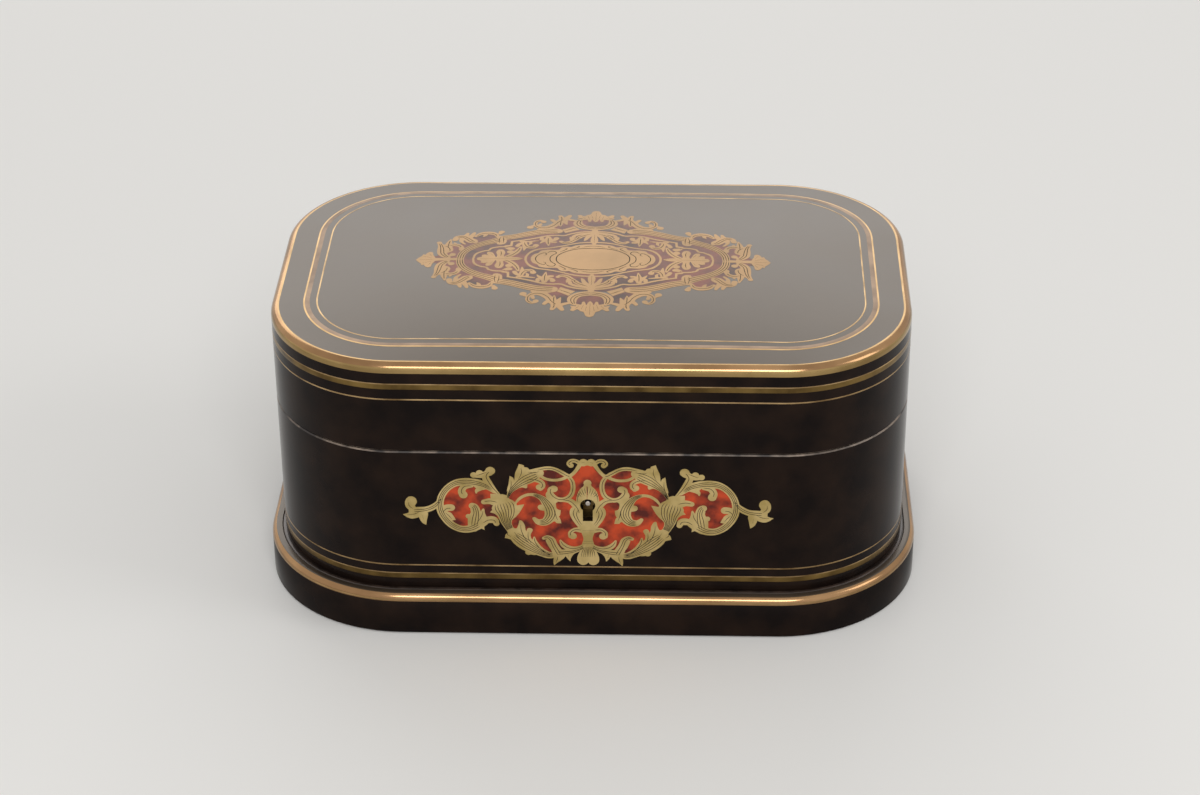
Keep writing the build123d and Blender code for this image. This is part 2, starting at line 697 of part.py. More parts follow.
def base_pad():
    """The padded silk floor of the lower compartment."""
    inset = WALL + LINING_THICK + LEDGE_THICK + PAD_CLEARANCE
    pad = board(inset, FLOOR_Z, FLOOR_Z + BASE_PAD_THICK)
    return fillet(outer_edges(pad, FLOOR_Z + BASE_PAD_THICK), BASE_PAD_THICK * 0.7)


def lid_pad():
    """The buttoned silk pad under the lid's board."""
    low = LID_CEILING_Z - LID_PAD_THICK
    pad = board(WALL + LID_LINING_THICK + PAD_CLEARANCE, low, LID_CEILING_Z)
    pad = fillet(outer_edges(pad, low), LID_PAD_THICK * 0.7)
    for row in (-1, 0, 1):
        count = 5 if row == 0 else 4
        for index in range(count):
            x = (index - (count - 1) / 2) * TUFT_PITCH_X
            pad -= Pos(x, row * TUFT_PITCH_Y, low - TUFT_RADIUS + TUFT_DEPTH) * Sphere(TUFT_RADIUS)
    return pad


def divider_blocks(extra):
    """The tray's dividers as blocks, thickened by extra on every side."""
    half = DIVIDER_THICK / 2 + extra
    low = TRAY_Z + TRAY_BOTTOM
    high = TRAY_Z + TRAY_HEIGHT - DIVIDER_BELOW_RIM + extra
    end_x = CASE_LENGTH / 2 - TRAY_INNER
    end_y = HALF_DEPTH - TRAY_INNER
    blocks = [block((-end_x, LONG_DIVIDER_Y - half, low), (end_x, LONG_DIVIDER_Y + half, high))]
    for side in (-1, 1):
        x = side * REAR_DIVIDER_X
        blocks.append(block((x - half, LONG_DIVIDER_Y, low), (x + half, end_y, high)))
        x = side * FRONT_DIVIDER_X
        blocks.append(block((x - half, -end_y, low), (x + half, LONG_DIVIDER_Y, high)))
    return blocks


def tray_pads():
    """Velvet pads in the open compartments of the tray."""
    low = TRAY_Z + TRAY_BOTTOM
    pads = board(TRAY_INNER + PAD_CLEARANCE, low, low + TRAY_PAD)
    pads = cut_all(pads, divider_blocks(PAD_CLEARANCE))
    centre = block((-FRONT_DIVIDER_X, -HALF_DEPTH, low), (FRONT_DIVIDER_X, LONG_DIVIDER_Y, low + TRAY_PAD))
    return pads - centre


def ring_cushion():
    """Rolls of velvet that rings stand between, in the tray's middle compartment."""
    front = -(HALF_DEPTH - TRAY_INNER) + ROLL_GAP
    back = LONG_DIVIDER_Y - DIVIDER_THICK / 2 - ROLL_GAP
    pitch = (back - front) / ROLL_COUNT
    half = FRONT_DIVIDER_X - DIVIDER_THICK / 2 - ROLL_GAP
    low = TRAY_Z + TRAY_BOTTOM
    rolls = []
    for index in range(ROLL_COUNT):
        y = front + pitch * index
        roll = block((-half, y + ROLL_GAP / 2, low), (half, y + pitch - ROLL_GAP / 2, low + ROLL_HEIGHT))
        tops = roll.edges().filter_by(Axis.X).sort_by(Axis.Z)[-2:]
        rolls.append(fillet(tops, (pitch - ROLL_GAP) * 0.45))
    return rolls


def tray_tabs():
    """Ribbon loops glued inside the tray's two ends, to lift it by."""
    wall_x = CASE_LENGTH / 2 - TRAY_INNER
    top = TRAY_Z + TRAY_HEIGHT + TAB_RISE
    low = TRAY_Z + TRAY_HEIGHT - TAB_GLUED
    tabs = []
    for side in (-1, 1):
        outer_face = block((wall_x - TAB_LOOP, -TAB_WIDTH / 2, low), (wall_x, TAB_WIDTH / 2, top))
        rims = outer_face.edges().filter_by(Axis.Y).sort_by(Axis.Z)[-2:]
        loop = fillet(rims, TAB_LOOP * 0.45)
        inner = block(
            (wall_x - TAB_LOOP + RIBBON_THICK, -TAB_WIDTH, low - 1),
            (wall_x - RIBBON_THICK, TAB_WIDTH, top - RIBBON_THICK),
        )
        hollow_rims = inner.edges().filter_by(Axis.Y).sort_by(Axis.Z)[-2:]
        loop -= fillet(hollow_rims, TAB_LOOP * 0.3)
        tabs.append(loop if side > 0 else mirror(loop, Plane.YZ))
    return tabs


def build():
    """Every piece by name."""
    fret = front_fret_plan()
    fret_outline = silhouette(fret)
    shell_back = -HALF_DEPTH - INLAY_PROUD + FRET_THICK + SHELL_THICK
    fret_back = -HALF_DEPTH - INLAY_PROUD + FRET_THICK
    hole = keyhole(-HALF_DEPTH - 2, LOCK_FRONT_Y)
    medal = medallion_plan()
    medal_outline = medallion_ground_plan()
    tray_top = TRAY_Z + TRAY_HEIGHT
    pieces = {
        "case_walls": case_walls(fret_outline),
        "bottom_board": board(WALL, BAIZE_THICK, FLOOR_Z),
        "underside_baize": board(WALL, 0, BAIZE_THICK),
        "plinth": plinth(),
        "plinth_moulding": plinth_moulding(),
        "case_lower_band": case_inlay(CASE_BAND_Z, BAND_WIDTH),
        "case_fine_line": case_inlay(CASE_LINE_Z, LINE_WIDTH),
        "front_shell_panel": on_front(fret_outline, fret_back, shell_back) - hole,
        "front_brass_fret": on_front(fret, -HALF_DEPTH - INLAY_PROUD, fret_back) - hole,
        "lock_plate": lock_plate(),
        "lock_case": lock_case(),
        "lock_bolt": lock_bolt(),
        "lock_pin": lock_pin(),
        "lock_spring": lock_spring(),
        "lock_screws": screws_at(lock_screw_places(), LOCK_SCREW_LENGTH)
        + screws_at(selvedge_screw_places(), SCREW_LENGTH),
        "hinge_screws_case": screws_at(hinge_screw_places(False), SCREW_LENGTH),
        "hinge_screws_lid": screws_at(hinge_screw_places(True), SCREW_LENGTH),
        "lid_walls": lid_walls(),
        "lid_top_board": lid_top_board(medal_outline),
        "lid_edge_moulding": lid_edge_moulding(),
        "lid_side_band": case_inlay(EDGE_Z - LID_BAND_BELOW_EDGE, BAND_WIDTH),
        "lid_side_line": case_inlay(EDGE_Z - LID_LINE_BELOW_EDGE, LINE_WIDTH),
        "lid_top_band": band_on_dome(TOP_BAND_INSET, BAND_WIDTH),
        "lid_top_line": band_on_dome(TOP_LINE_INSET, LINE_WIDTH),
        "medallion_ground": medallion_ground(medal_outline),
        "medallion_brass": medallion_brass(medal),
        "striker": striker(),
        "striker_screws": screws_at(striker_screw_places(), SCREW_LENGTH),
        "case_wall_lining": case_wall_lining(),
        "tray_ledge": tray_ledge(),
        "base_pad": base_pad(),
        "lid_wall_lining": ring(WALL, WALL + LID_LINING_THICK, LID_Z + PAD_CLEARANCE, LID_CEILING_Z),
        "lid_pad": lid_pad(),
        "tray_frame": ring(TRAY_INSET, TRAY_INNER, TRAY_Z, tray_top),
        "tray_bottom": board(TRAY_INNER, TRAY_Z, TRAY_Z + TRAY_BOTTOM),
        "tray_dividers": divider_blocks(0),
        "tray_pads": tray_pads(),
        "ring_cushion": ring_cushion(),
        "tray_lift_tabs": tray_tabs(),
    }
    for name, side in (("left", -1), ("right", 1)):
        place = Pos(side * HINGE_PLACE, HINGE_Y, HINGE_Z)
        lower = place * hinge_leaf(False)
        upper = place * hinge_leaf(True)
        lower = cut_all(lower, screws_at(hinge_screw_places(False), SCREW_LENGTH, False))
        upper = cut_all(upper, screws_at(hinge_screw_places(True), SCREW_LENGTH, False))
        half = HINGE_LENGTH / 2
        pieces["hinge_lower_leaf_" + name] = lower
        pieces["hinge_upper_leaf_" + name] = upper
        pieces["hinge_pin_" + name] = place * rod_x(HINGE_PIN_RADIUS, -half, half, 0, 0)
    return pieces


def solids_of(shape):
    """All solids of a shape or of a list of shapes."""
    shapes = shape if isinstance(shape, list) else [shape]
    return [solid for item in shapes for solid in item.solids()]


os.makedirs("parts", exist_ok=True)
for node, shape in build().items():
    export_step(Compound(solids_of(shape)), "parts/" + node + ".step")
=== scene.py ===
import bpy
import bmesh
import math
import numpy
from mathutils import Matrix, Vector
from mathutils.geometry import delaunay_2d_cdt


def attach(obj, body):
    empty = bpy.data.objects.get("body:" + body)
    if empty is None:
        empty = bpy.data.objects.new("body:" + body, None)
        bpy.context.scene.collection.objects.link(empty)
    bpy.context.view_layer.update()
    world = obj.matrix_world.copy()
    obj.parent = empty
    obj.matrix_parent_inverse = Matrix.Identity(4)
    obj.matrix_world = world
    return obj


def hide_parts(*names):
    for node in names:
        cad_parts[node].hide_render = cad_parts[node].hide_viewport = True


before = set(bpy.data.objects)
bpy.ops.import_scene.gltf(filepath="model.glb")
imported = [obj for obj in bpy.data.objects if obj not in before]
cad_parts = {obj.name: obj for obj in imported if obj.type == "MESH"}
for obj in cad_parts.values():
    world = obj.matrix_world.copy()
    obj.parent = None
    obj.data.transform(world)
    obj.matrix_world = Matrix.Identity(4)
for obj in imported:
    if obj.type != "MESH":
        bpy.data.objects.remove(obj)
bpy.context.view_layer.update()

# Stage: a plain pale floor, soft studio light and a camera above and in front, at the photograph's
# viewing angle. The surroundings show white to the eye and to gloss, and light the object more softly.
def joined(tree, kind, links, **settings):
    """A new node with its settings, and its inputs linked from sockets or set to values."""
    made = tree.nodes.new(kind)
    for label, value in settings.items():
        setattr(made, label, value)
    for label, value in links.items():
        if isinstance(value, bpy.types.NodeSocket):
            tree.links.new(value, made.inputs[label])
        else:
            made.inputs[label].default_value = value
    return made


def white_where_seen(tree, strength):
    """A strength that is 1 for camera, glossy and transmission rays, and the given value for others."""
    rays = joined(tree, "ShaderNodeLightPath", {}).outputs
    seen = joined(tree, "ShaderNodeMath", {0: rays["Is Camera Ray"], 1: rays["Is Glossy Ray"]}, operation="MAXIMUM")
    also = joined(tree, "ShaderNodeMath", {0: seen.outputs[0], 1: rays["Is Transmission Ray"]}, operation="MAXIMUM")
    level = joined(tree, "ShaderNodeMapRange", {"Value": also.outputs[0], "To Min": strength, "To Max": 1.0})
    return level.outputs["Result"]


bpy.ops.mesh.primitive_plane_add(size=9.0, location=(0, 0, -0.0002))
floor = bpy.context.object
floor.name = "floor"
floor_paint = bpy.data.materials.new("floor_paint")
floor_paint.use_nodes = True
floor_shader = floor_paint.node_tree.nodes["Principled BSDF"]
floor_shader.inputs["Base Color"].default_value = (0.86, 0.85, 0.83, 1)
floor_shader.inputs["Roughness"].default_value = 0.9
floor_shader.inputs["Specular IOR Level"].default_value = 0.1
floor.data.materials.append(floor_paint)

world = bpy.data.worlds.new("studio")
bpy.context.scene.world = world
world.use_nodes = True
sky = world.node_tree.nodes["Background"]
sky.inputs["Color"].default_value = (1.0, 0.99, 0.97, 1)
world.node_tree.links.new(white_where_seen(world.node_tree, 0.5), sky.inputs["Strength"])


def soft_light(name, place, aim, width, height, power):
    """A large rectangular lamp that faces a point."""
    lamp = bpy.data.lights.new(name, "AREA")
    lamp.shape = "RECTANGLE"
    lamp.size = width
    lamp.size_y = height
    lamp.energy = power
    holder = bpy.data.objects.new(name, lamp)
    bpy.context.scene.collection.objects.link(holder)
    holder.location = place
    toward = Vector(aim) - Vector(place)
    holder.rotation_euler = toward.to_track_quat("-Z", "Y").to_euler()


soft_light("window_light", (-0.35, 1.9, 1.25), (0, 0, 0.1), 2.2, 1.1, 12.0)
soft_light("front_light", (0.1, -1.8, 1.5), (0, 0, 0.05), 1.2, 0.75, 19.0)
soft_light("side_light", (1.9, -0.4, 1.3), (0, 0, 0.05), 0.9, 0.9, 7.0)

camera_data = bpy.data.cameras.new("camera")
camera = bpy.data.objects.new("camera", camera_data)
bpy.context.scene.collection.objects.link(camera)
camera_data.sensor_fit = "HORIZONTAL"
camera_data.sensor_width = 36.0
camera_data.lens = 87.68028
camera_data.clip_start = 0.05
eye = (0.039037, -1.068096, 0.692446)
yaw, pitch, roll = -0.034226, 0.533311, 0.007344
forward = Vector((math.sin(yaw) * math.cos(pitch), math.cos(yaw) * math.cos(pitch), -math.sin(pitch)))
level_right = Vector((math.cos(yaw), -math.sin(yaw), 0))
level_up = level_right.cross(forward)
right = level_right * math.cos(roll) - level_up * math.sin(roll)
up = level_right * math.sin(roll) + level_up * math.cos(roll)
turn = Matrix((right, up, -forward)).transposed().to_4x4()
camera.matrix_world = Matrix.Translation(eye) @ turn
bpy.context.scene.camera = camera
bpy.context.scene.view_settings.view_transform = "Standard"

# Case wall: a bent wooden wall veneered and ebonised to a French-polished black, joined at the
# bottom board. Its rim and the lid's meet at a fine joint; its arrises are worn brown with a painted highlight.
MM = 0.001
LENGTH, DEPTH, CORNER = 260.0, 163.0, 53.5
MIDDLE_X, MIDDLE_Y = LENGTH / 2 - CORNER, DEPTH / 2 - CORNER
CORNER_STEPS = 26
CASE_TOP = 83.65
KEYHOLE_RADIUS, KEYHOLE_HEIGHT = 3.05, 59.25
HINGES, PIN_DEPTH, PIN_HEIGHT = (-52.0, 52.0), 83.0, 83.8
LOCK_CASE_SINK = (-21, -78.5, 51.15), (21, -70, 90)
LOCK_PLATE_SINK = (-26, -72.7, 48.15), (26, -70, 90)
LOCK_TOP_SINK = (-29, -79.5, 82.25), (29, -70, 90)


def finish_of(name, slot_name, dark, light, size, rough, metal=0.0, bump=0.0, reach=(0.35, 0.65), sheen=0.0,
              tint=(1, 1, 1), index=1.5, squeeze=(1, 1, 1), rough_swing=0.0):
    """A material whose colour wanders between two colours in patches of a size given in millimetres.

    reach gives the shares of the pattern between which the colours blend, bump the patches' relief in
    millimetres, squeeze their stretch along X, Y and Z, and rough_swing how far the gloss goes with them.
    """
    made = bpy.data.materials.new(name)
    made.use_nodes = True
    tree = made.node_tree
    shader = tree.nodes["Principled BSDF"]
    shader.inputs["Roughness"].default_value = rough
    shader.inputs["Metallic"].default_value = metal
    shader.inputs["Specular Tint"].default_value = (*tint, 1)
    shader.inputs["IOR"].default_value = index
    shader.inputs["Sheen Weight"].default_value = sheen
    shader.inputs["Sheen Tint"].default_value = (*[min(1.0, 0.45 + 1.2 * share) for share in light], 1)
    place = joined(tree, "ShaderNodeTexCoord", {}).outputs["Object"]
    mapping = joined(tree, "ShaderNodeMapping", {"Vector": place, "Scale": squeeze})
    noise = {"Vector": mapping.outputs[0], "Scale": 1000.0 / size, "Detail": 5.0}
    patches = joined(tree, "ShaderNodeTexNoise", noise).outputs["Fac"]
    ramp = joined(tree, "ShaderNodeValToRGB", {"Fac": patches})
    for stop, position, colour in zip(ramp.color_ramp.elements, reach, (dark, light)):
        stop.position = position
        stop.color = (*colour, 1)
    tree.links.new(ramp.outputs["Color"], shader.inputs["Base Color"])
    if rough_swing:
        gloss = {"Value": patches, "To Min": rough - rough_swing, "To Max": rough + rough_swing}
        swing = joined(tree, "ShaderNodeMapRange", gloss)
        tree.links.new(swing.outputs["Result"], shader.inputs["Roughness"])
    if bump:
        relief = joined(tree, "ShaderNodeBump", {"Height": patches, "Distance": bump * MM, "Strength": 0.6})
        tree.links.new(relief.outputs["Normal"], shader.inputs["Normal"])
    made["slot_name"] = slot_name
    return made


ebony = finish_of("ebonised_wood", "ebonised_wood", (0.0045, 0.0028, 0.0026), (0.014, 0.0075, 0.005), 16.0, 0.17,
                  bump=0.02, tint=(1.0, 0.86, 0.8), index=1.19, rough_swing=0.05)
# Worn lacquer at the joint's arrises; its pale patches are also a painted highlight along the joint.
arris_wear_and_painted_highlight = finish_of("worn_arris_painted_highlight", "ebonised_wood", (0.018, 0.011, 0.008), (0.34, 0.26, 0.20), 7.0, 0.42,
                 reach=(0.4, 0.72))


def settle(piece, body, *nodes):
    """The piece rides a body and stands for its CAD nodes, which are hidden."""
    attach(piece, body)
    if nodes:
        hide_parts(*nodes)
    return piece


def asked(tree, *wanted):
    """The tree's named inputs, a geometry output, and the identifier of each input."""
    known = {}
    for label, kind in wanted:
        known[label] = tree.interface.new_socket(label, in_out="INPUT", socket_type="NodeSocket" + kind).identifier
    tree.interface.new_socket("Geometry", in_out="OUTPUT", socket_type="NodeSocketGeometry")
    return tree.nodes.new("NodeGroupInput").outputs, known


def sweep_nodes(materials, marked, sides, laid_on):
    """Nodes that sweep a profile round the case's rounded plan, and lay it on a surface where one is given."""
    tree = bpy.data.node_groups.new("round_the_plan", "GeometryNodeTree")
    given, known = asked(tree, ("Profile", "Geometry"), ("Length", "Float"), ("Depth", "Float"), ("Corner", "Float"),
                         ("Corner Steps", "Int"), ("Straight Step", "Float"), ("Surface", "Object"))
    index = joined(tree, "GeometryNodeInputIndex", {}).outputs[0]
    place = joined(tree, "GeometryNodeInputPosition", {}).outputs[0]
    square = joined(tree, "GeometryNodeCurvePrimitiveQuadrilateral",
                    {"Width": given["Length"], "Height": given["Depth"]})
    plan = joined(tree, "GeometryNodeFilletCurve", {"Curve": square.outputs[0], "Radius": given["Corner"],
                                                    "Count": given["Corner Steps"]}, mode="POLY")
    size = joined(tree, "GeometryNodeAttributeDomainSize", {"Geometry": plan.outputs[0]}, component="CURVE")
    following = joined(tree, "ShaderNodeMath", {0: index, 1: 1.0}, operation="ADD")
    around = joined(tree, "ShaderNodeMath", {0: following.outputs[0], 1: size.outputs["Point Count"]},
                    operation="MODULO")
    ahead = joined(tree, "GeometryNodeFieldAtIndex", {"Index": around.outputs[0], "Value": place},
                   domain="POINT", data_type="FLOAT_VECTOR")
    gap = joined(tree, "ShaderNodeVectorMath", {0: place, 1: ahead.outputs[0]}, operation="DISTANCE")
    cuts = joined(tree, "ShaderNodeMath", {0: gap.outputs["Value"], 1: given["Straight Step"]}, operation="DIVIDE")
    whole = joined(tree, "ShaderNodeMath", {0: cuts.outputs[0]}, operation="FLOOR")
    divided = joined(tree, "GeometryNodeSubdivideCurve", {"Curve": plan.outputs[0], "Cuts": whole.outputs[0]})
    path = joined(tree, "GeometryNodeSetCurveNormal", {"Curve": divided.outputs[0]}, mode="Z_UP")
    dots = joined(tree, "GeometryNodeMeshToPoints", {"Mesh": given["Profile"]})
    chain = joined(tree, "GeometryNodePointsToCurves", {"Points": dots.outputs[0], "Weight": index})
    ring = joined(tree, "GeometryNodeSetSplineCyclic", {"Geometry": chain.outputs[0], "Cyclic": True})
    swept = joined(tree, "GeometryNodeCurveToMesh", {"Curve": path.outputs[0], "Profile Curve": ring.outputs[0]})
    flow = joined(tree, "GeometryNodeFlipFaces", {"Mesh": swept.outputs[0]})
    if laid_on:
        target = joined(tree, "GeometryNodeObjectInfo", {"Object": given["Surface"]})
        above = joined(tree, "ShaderNodeVectorMath", {0: place, 1: (0, 0, 1)}, operation="ADD")
        drop = joined(tree, "GeometryNodeRaycast", {"Target Geometry": target.outputs["Geometry"], "Ray Length": 2.0,
                                                    "Source Position": above.outputs[0], "Ray Direction": (0, 0, -1)})
        level = joined(tree, "ShaderNodeSeparateXYZ", {0: drop.outputs["Hit Position"]})
        lift = joined(tree, "ShaderNodeCombineXYZ", {"Z": level.outputs["Z"]})
        flow = joined(tree, "GeometryNodeSetPosition", {"Geometry": flow.outputs[0], "Offset": lift.outputs[0]})
    flow = joined(tree, "GeometryNodeRealizeInstances", {"Geometry": flow.outputs[0]})
    side = joined(tree, "ShaderNodeMath", {0: index, 1: float(sides)}, operation="MODULO")
    flow = joined(tree, "GeometryNodeSetMaterial", {"Geometry": flow.outputs[0], "Material": materials[0]})
    for number, material in marked.items():
        chosen = joined(tree, "FunctionNodeCompare", {0: side.outputs[0], 1: float(number)}, data_type="FLOAT",
                        operation="EQUAL")
        flow = joined(tree, "GeometryNodeSetMaterial", {"Geometry": flow.outputs[0], "Selection": chosen.outputs[0],
                                                        "Material": materials[material]})
    joined(tree, "NodeGroupOutput", {"Geometry": flow.outputs[0]})
    return tree, known


def make_plain(piece):
    """Make the piece's mesh what its modifiers give, and take them off."""
    graph = bpy.context.evaluated_depsgraph_get()
    made = bpy.data.meshes.new_from_object(piece.evaluated_get(graph))
    piece.modifiers.clear()
    old = piece.data
    piece.data = made
    bpy.data.meshes.remove(old)


def shade(piece, angle=40):
    """Shade the piece smooth, except at edges sharper than an angle in degrees."""
    piece.data.shade_smooth()
    piece.data.set_sharp_from_angle(angle=math.radians(angle))


def from_nodes(name, points, tree, sizes):
    """The plain mesh piece that a node tree makes from points in millimetres, with its named sizes set."""
    start = bpy.data.meshes.new(name)
    start.from_pydata([(x * MM, y * MM, z * MM) for x, y, z in points], [], [])
    piece = bpy.data.objects.new(name, start)
    bpy.context.scene.collection.objects.link(piece)
    step = piece.modifiers.new(tree.name, "NODES")
    step.node_group = tree
    for socket, value in sizes:
        step[socket] = value
    make_plain(piece)
    if piece.data.materials[0] is None:
        piece.data.materials.pop(index=0)
    shade(piece)
    return piece


def hoop(name, profile, materials, marked=None, laid_on=None):
    """A closed profile of (inset, height) in millimetres swept round the case's plan.

    The profile runs with the outside first, from low to high, so that its faces look outwards.
    marked gives the number of the material for each of the profile's sides that doesn't take the
    first one, and laid_on is a piece whose top the profile follows.
    """
    tree, known = sweep_nodes(materials, marked or {}, len(profile), laid_on)
    sizes = [(known["Length"], LENGTH * MM), (known["Depth"], DEPTH * MM), (known["Corner"], CORNER * MM),
             (known["Corner Steps"], CORNER_STEPS), (known["Straight Step"], 10 * MM)]
    if laid_on:
        sizes.append((known["Surface"], laid_on))
    return from_nodes(name, [(-inset, -height, 0) for inset, height in profile], tree, sizes)


def block_tool(low, high):
    """A box used to cut another mesh, from its two corners in millimetres."""
    cut = bmesh.new()
    size = [(b - a) * MM for a, b in zip(low, high)]
    middle = [(b + a) / 2 * MM for a, b in zip(low, high)]
    bmesh.ops.create_cube(cut, size=1.0, matrix=Matrix.Translation(middle) @ Matrix.Diagonal((*size, 1)))
    return cut


def rod_tool(radius, start, end):
    """A round rod used to cut another mesh, between two points in millimetres."""
    cut = bmesh.new()
    start, end = Vector(start) * MM, Vector(end) * MM
    turned = (end - start).to_track_quat("Z", "Y").to_matrix().to_4x4()
    place = Matrix.Translation((start + end) / 2) @ turned
    bmesh.ops.create_cone(cut, cap_ends=True, segments=48, radius1=radius * MM, radius2=radius * MM,
                          depth=(end - start).length, matrix=place)
    return cut


def cut_away(piece, tools):
    """Cut the tools' solids out of the piece."""
    for tool in tools:
        data = bpy.data.meshes.new("tool")
        tool.to_mesh(data)
        tool.free()
        cutter = bpy.data.objects.new("tool", data)
        bpy.context.scene.collection.objects.link(cutter)
        step = piece.modifiers.new("cut", "BOOLEAN")
        step.operation = "DIFFERENCE"
        step.solver = "EXACT"
        step.object = cutter
        make_plain(piece)
        bpy.data.objects.remove(cutter)
        bpy.data.meshes.remove(data)
    shade(piece)


def hinge_tools():
    """The room for both hinges' knuckles and leaves."""
    tools = []
    for x in HINGES:
        tools.append(rod_tool(2.25, (x - 16.2, PIN_DEPTH, PIN_HEIGHT), (x + 16.2, PIN_DEPTH, PIN_HEIGHT)))
        tools.append(block_tool((x - 16, 74.0, 82.35), (x + 16, 82.5, 85.25)))
    return tools


# The chamfer at the rim's outer arris takes the worn colour with its painted highlight.
case_wall = hoop("case_wall", [(0, 0.4), (0, 83.15), (0.5, CASE_TOP), (9.7, CASE_TOP), (10, 83.35), (10, 0.4)],
                 [ebony, arris_wear_and_painted_highlight], marked={1: 1})
cut_away(case_wall, [
    block_tool(*LOCK_PLATE_SINK),
    block_tool(*LOCK_CASE_SINK),
    block_tool(*LOCK_TOP_SINK),
    rod_tool(KEYHOLE_RADIUS, (0, -83, KEYHOLE_HEIGHT), (0, -77, KEYHOLE_HEIGHT)),
    block_tool((-2.0, -83, 51.85), (2.0, -77, KEYHOLE_HEIGHT)),
] + hinge_tools())
settle(case_wall, "case", "case_walls")

# Plinth: an ebonised skirt glued round the foot, with a narrow rounded step above it and a brass
# quarter round on its edge between the two.
PLINTH_INSET = -5.8
# Painted light: a lighter copy of the black ebony for faces that look up, where light and the pale surroundings fall on
# them.
painted_lit_top_ebony = finish_of("ebonised_top_painted_light", "ebonised_wood", (0.036, 0.026, 0.018), (0.052, 0.038, 0.027), 26.0, 0.30,
                      bump=0.02, tint=(1.0, 0.86, 0.72), index=1.61, rough_swing=0.05)
polish = finish_of("polished_edge", "ebonised_wood", (0.014, 0.009, 0.007), (0.05, 0.032, 0.024), 9.0, 0.24,
                   bump=0.02, tint=(1.0, 0.93, 0.9))
copper_brass = finish_of("moulding_brass", "brass", (0.22, 0.122, 0.058), (0.41, 0.245, 0.12), 30.0, 0.17, metal=1.0,
                         reach=(0.3, 0.7), rough_swing=0.04)
# Painted highlight: a lighter copy of the brass for the thin bright lines on the rounds' and top strips' edges.
painted_highlight_brass = finish_of("painted_highlight_brass", "brass", (0.27, 0.17, 0.072), (0.47, 0.305, 0.14), 9.0, 0.28, metal=1.0,
                         reach=(0.25, 0.7))


def quarter_round(inset, height, radius, steps):
    """The section of a brass quarter round, from its foot up to its top."""
    turns = [math.pi / 2 * step / steps for step in range(steps + 1)]
    return [(inset + radius * (1 - math.cos(turn)), height + radius * math.sin(turn)) for turn in turns]


plinth = hoop("plinth_skirt", [(PLINTH_INSET, 0.5), (PLINTH_INSET, 15.2), (-5.5, 15.6), (-1.6, 15.6), (-1.6, 18.1),
                               (-1.3, 18.6), (-0.8, 18.8), (0, 18.8), (0, 0.2), (-5.5, 0.2)],
              [ebony, polish], marked={3: 1, 4: 1, 5: 1, 6: 1})
settle(plinth, "case", "plinth")
# The plinth round's outer lower edge takes the lighter brass, a painted highlight.
section = [(PLINTH_INSET, 15.6), *quarter_round(PLINTH_INSET, 15.95, 2.8, 8), (-1.6, 18.75), (-1.6, 15.6)]
# The round's top and its inner flat take the lighter ebony, painted light on the upward faces.
plinth_round = hoop("plinth_brass_round", section, [copper_brass, painted_lit_top_ebony, painted_highlight_brass],
                    marked={7: 1, 8: 1, 9: 1, 1: 2})
settle(plinth_round, "case", "plinth_moulding")

# Lid: a bent wall like the case's with a slightly domed board glued on it, both ebonised, and a brass
# quarter round on its edge. Its lower arris is worn and carries a painted highlight like the case's rim.
LID_FOOT, LID_EDGE = 83.95, 123.5
BOARD_FOOT, ROUND_SEAT, ROUND_WIDTH = 115.5, 119.5, 3.36
# The chamfer at the lower outer arris takes the worn colour with its painted highlight.
lid_wall = hoop("lid_wall", [(0.5, LID_FOOT), (0, 84.45), (0, BOARD_FOOT), (10, BOARD_FOOT), (10, 84.25),
                             (9.7, LID_FOOT)], [ebony, arris_wear_and_painted_highlight], marked={0: 1})
cut_away(lid_wall, [block_tool((-24, -79.5, 80), (24, -70, 85.35))] + hinge_tools())
settle(lid_wall, "lid", "lid_walls")

# Painted reflection: a yellower copy of the moulding brass for the lower part of the lid's round, standing for what it
# mirrors.
painted_reflection_brass = finish_of("painted_reflection_brass", "brass", (0.20, 0.13, 0.05), (0.42, 0.285, 0.12), 26.0, 0.17, metal=1.0,
                         reach=(0.3, 0.7), rough_swing=0.04)
# The lid round's inner top edge takes the lighter brass, a painted highlight.
section = [(0, ROUND_SEAT), *quarter_round(0, 120.4, 3.1, 12), (ROUND_WIDTH, LID_EDGE), (ROUND_WIDTH, ROUND_SEAT)]
# The round's lower sides take the yellower brass, a painted reflection.
edge_round = hoop("lid_brass_round", section, [copper_brass, painted_reflection_brass, painted_highlight_brass],
                  marked={0: 1, 1: 1, 2: 1, 3: 1, 4: 1, 12: 2, 13: 2})
settle(edge_round, "lid", "lid_edge_moulding")


def dome(x, y):
    """The height of the lid's wood at a place on its top, in millimetres: a low dome, level at its rim."""
    highest, levelled = 4.4, 14
    half_x, half_y, reach = LENGTH / 2 - ROUND_WIDTH, DEPTH / 2 - ROUND_WIDTH, CORNER - ROUND_WIDTH

    def bare(px, py):
        return highest * (1 - min(1, abs(px) / half_x) ** 2.5) * (1 - min(1, abs(py) / half_y) ** 2)

    rise = bare(x, y)
    over_x, over_y = abs(x) - MIDDLE_X, abs(y) - MIDDLE_Y
    if over_x > 0 and over_y > 0:
        away = math.hypot(over_x, over_y)
        rim = bare(MIDDLE_X + over_x / away * reach, MIDDLE_Y + over_y / away * reach)
        rise -= rim * math.exp(-((reach - away) / levelled) ** 2)
    return LID_EDGE + rise


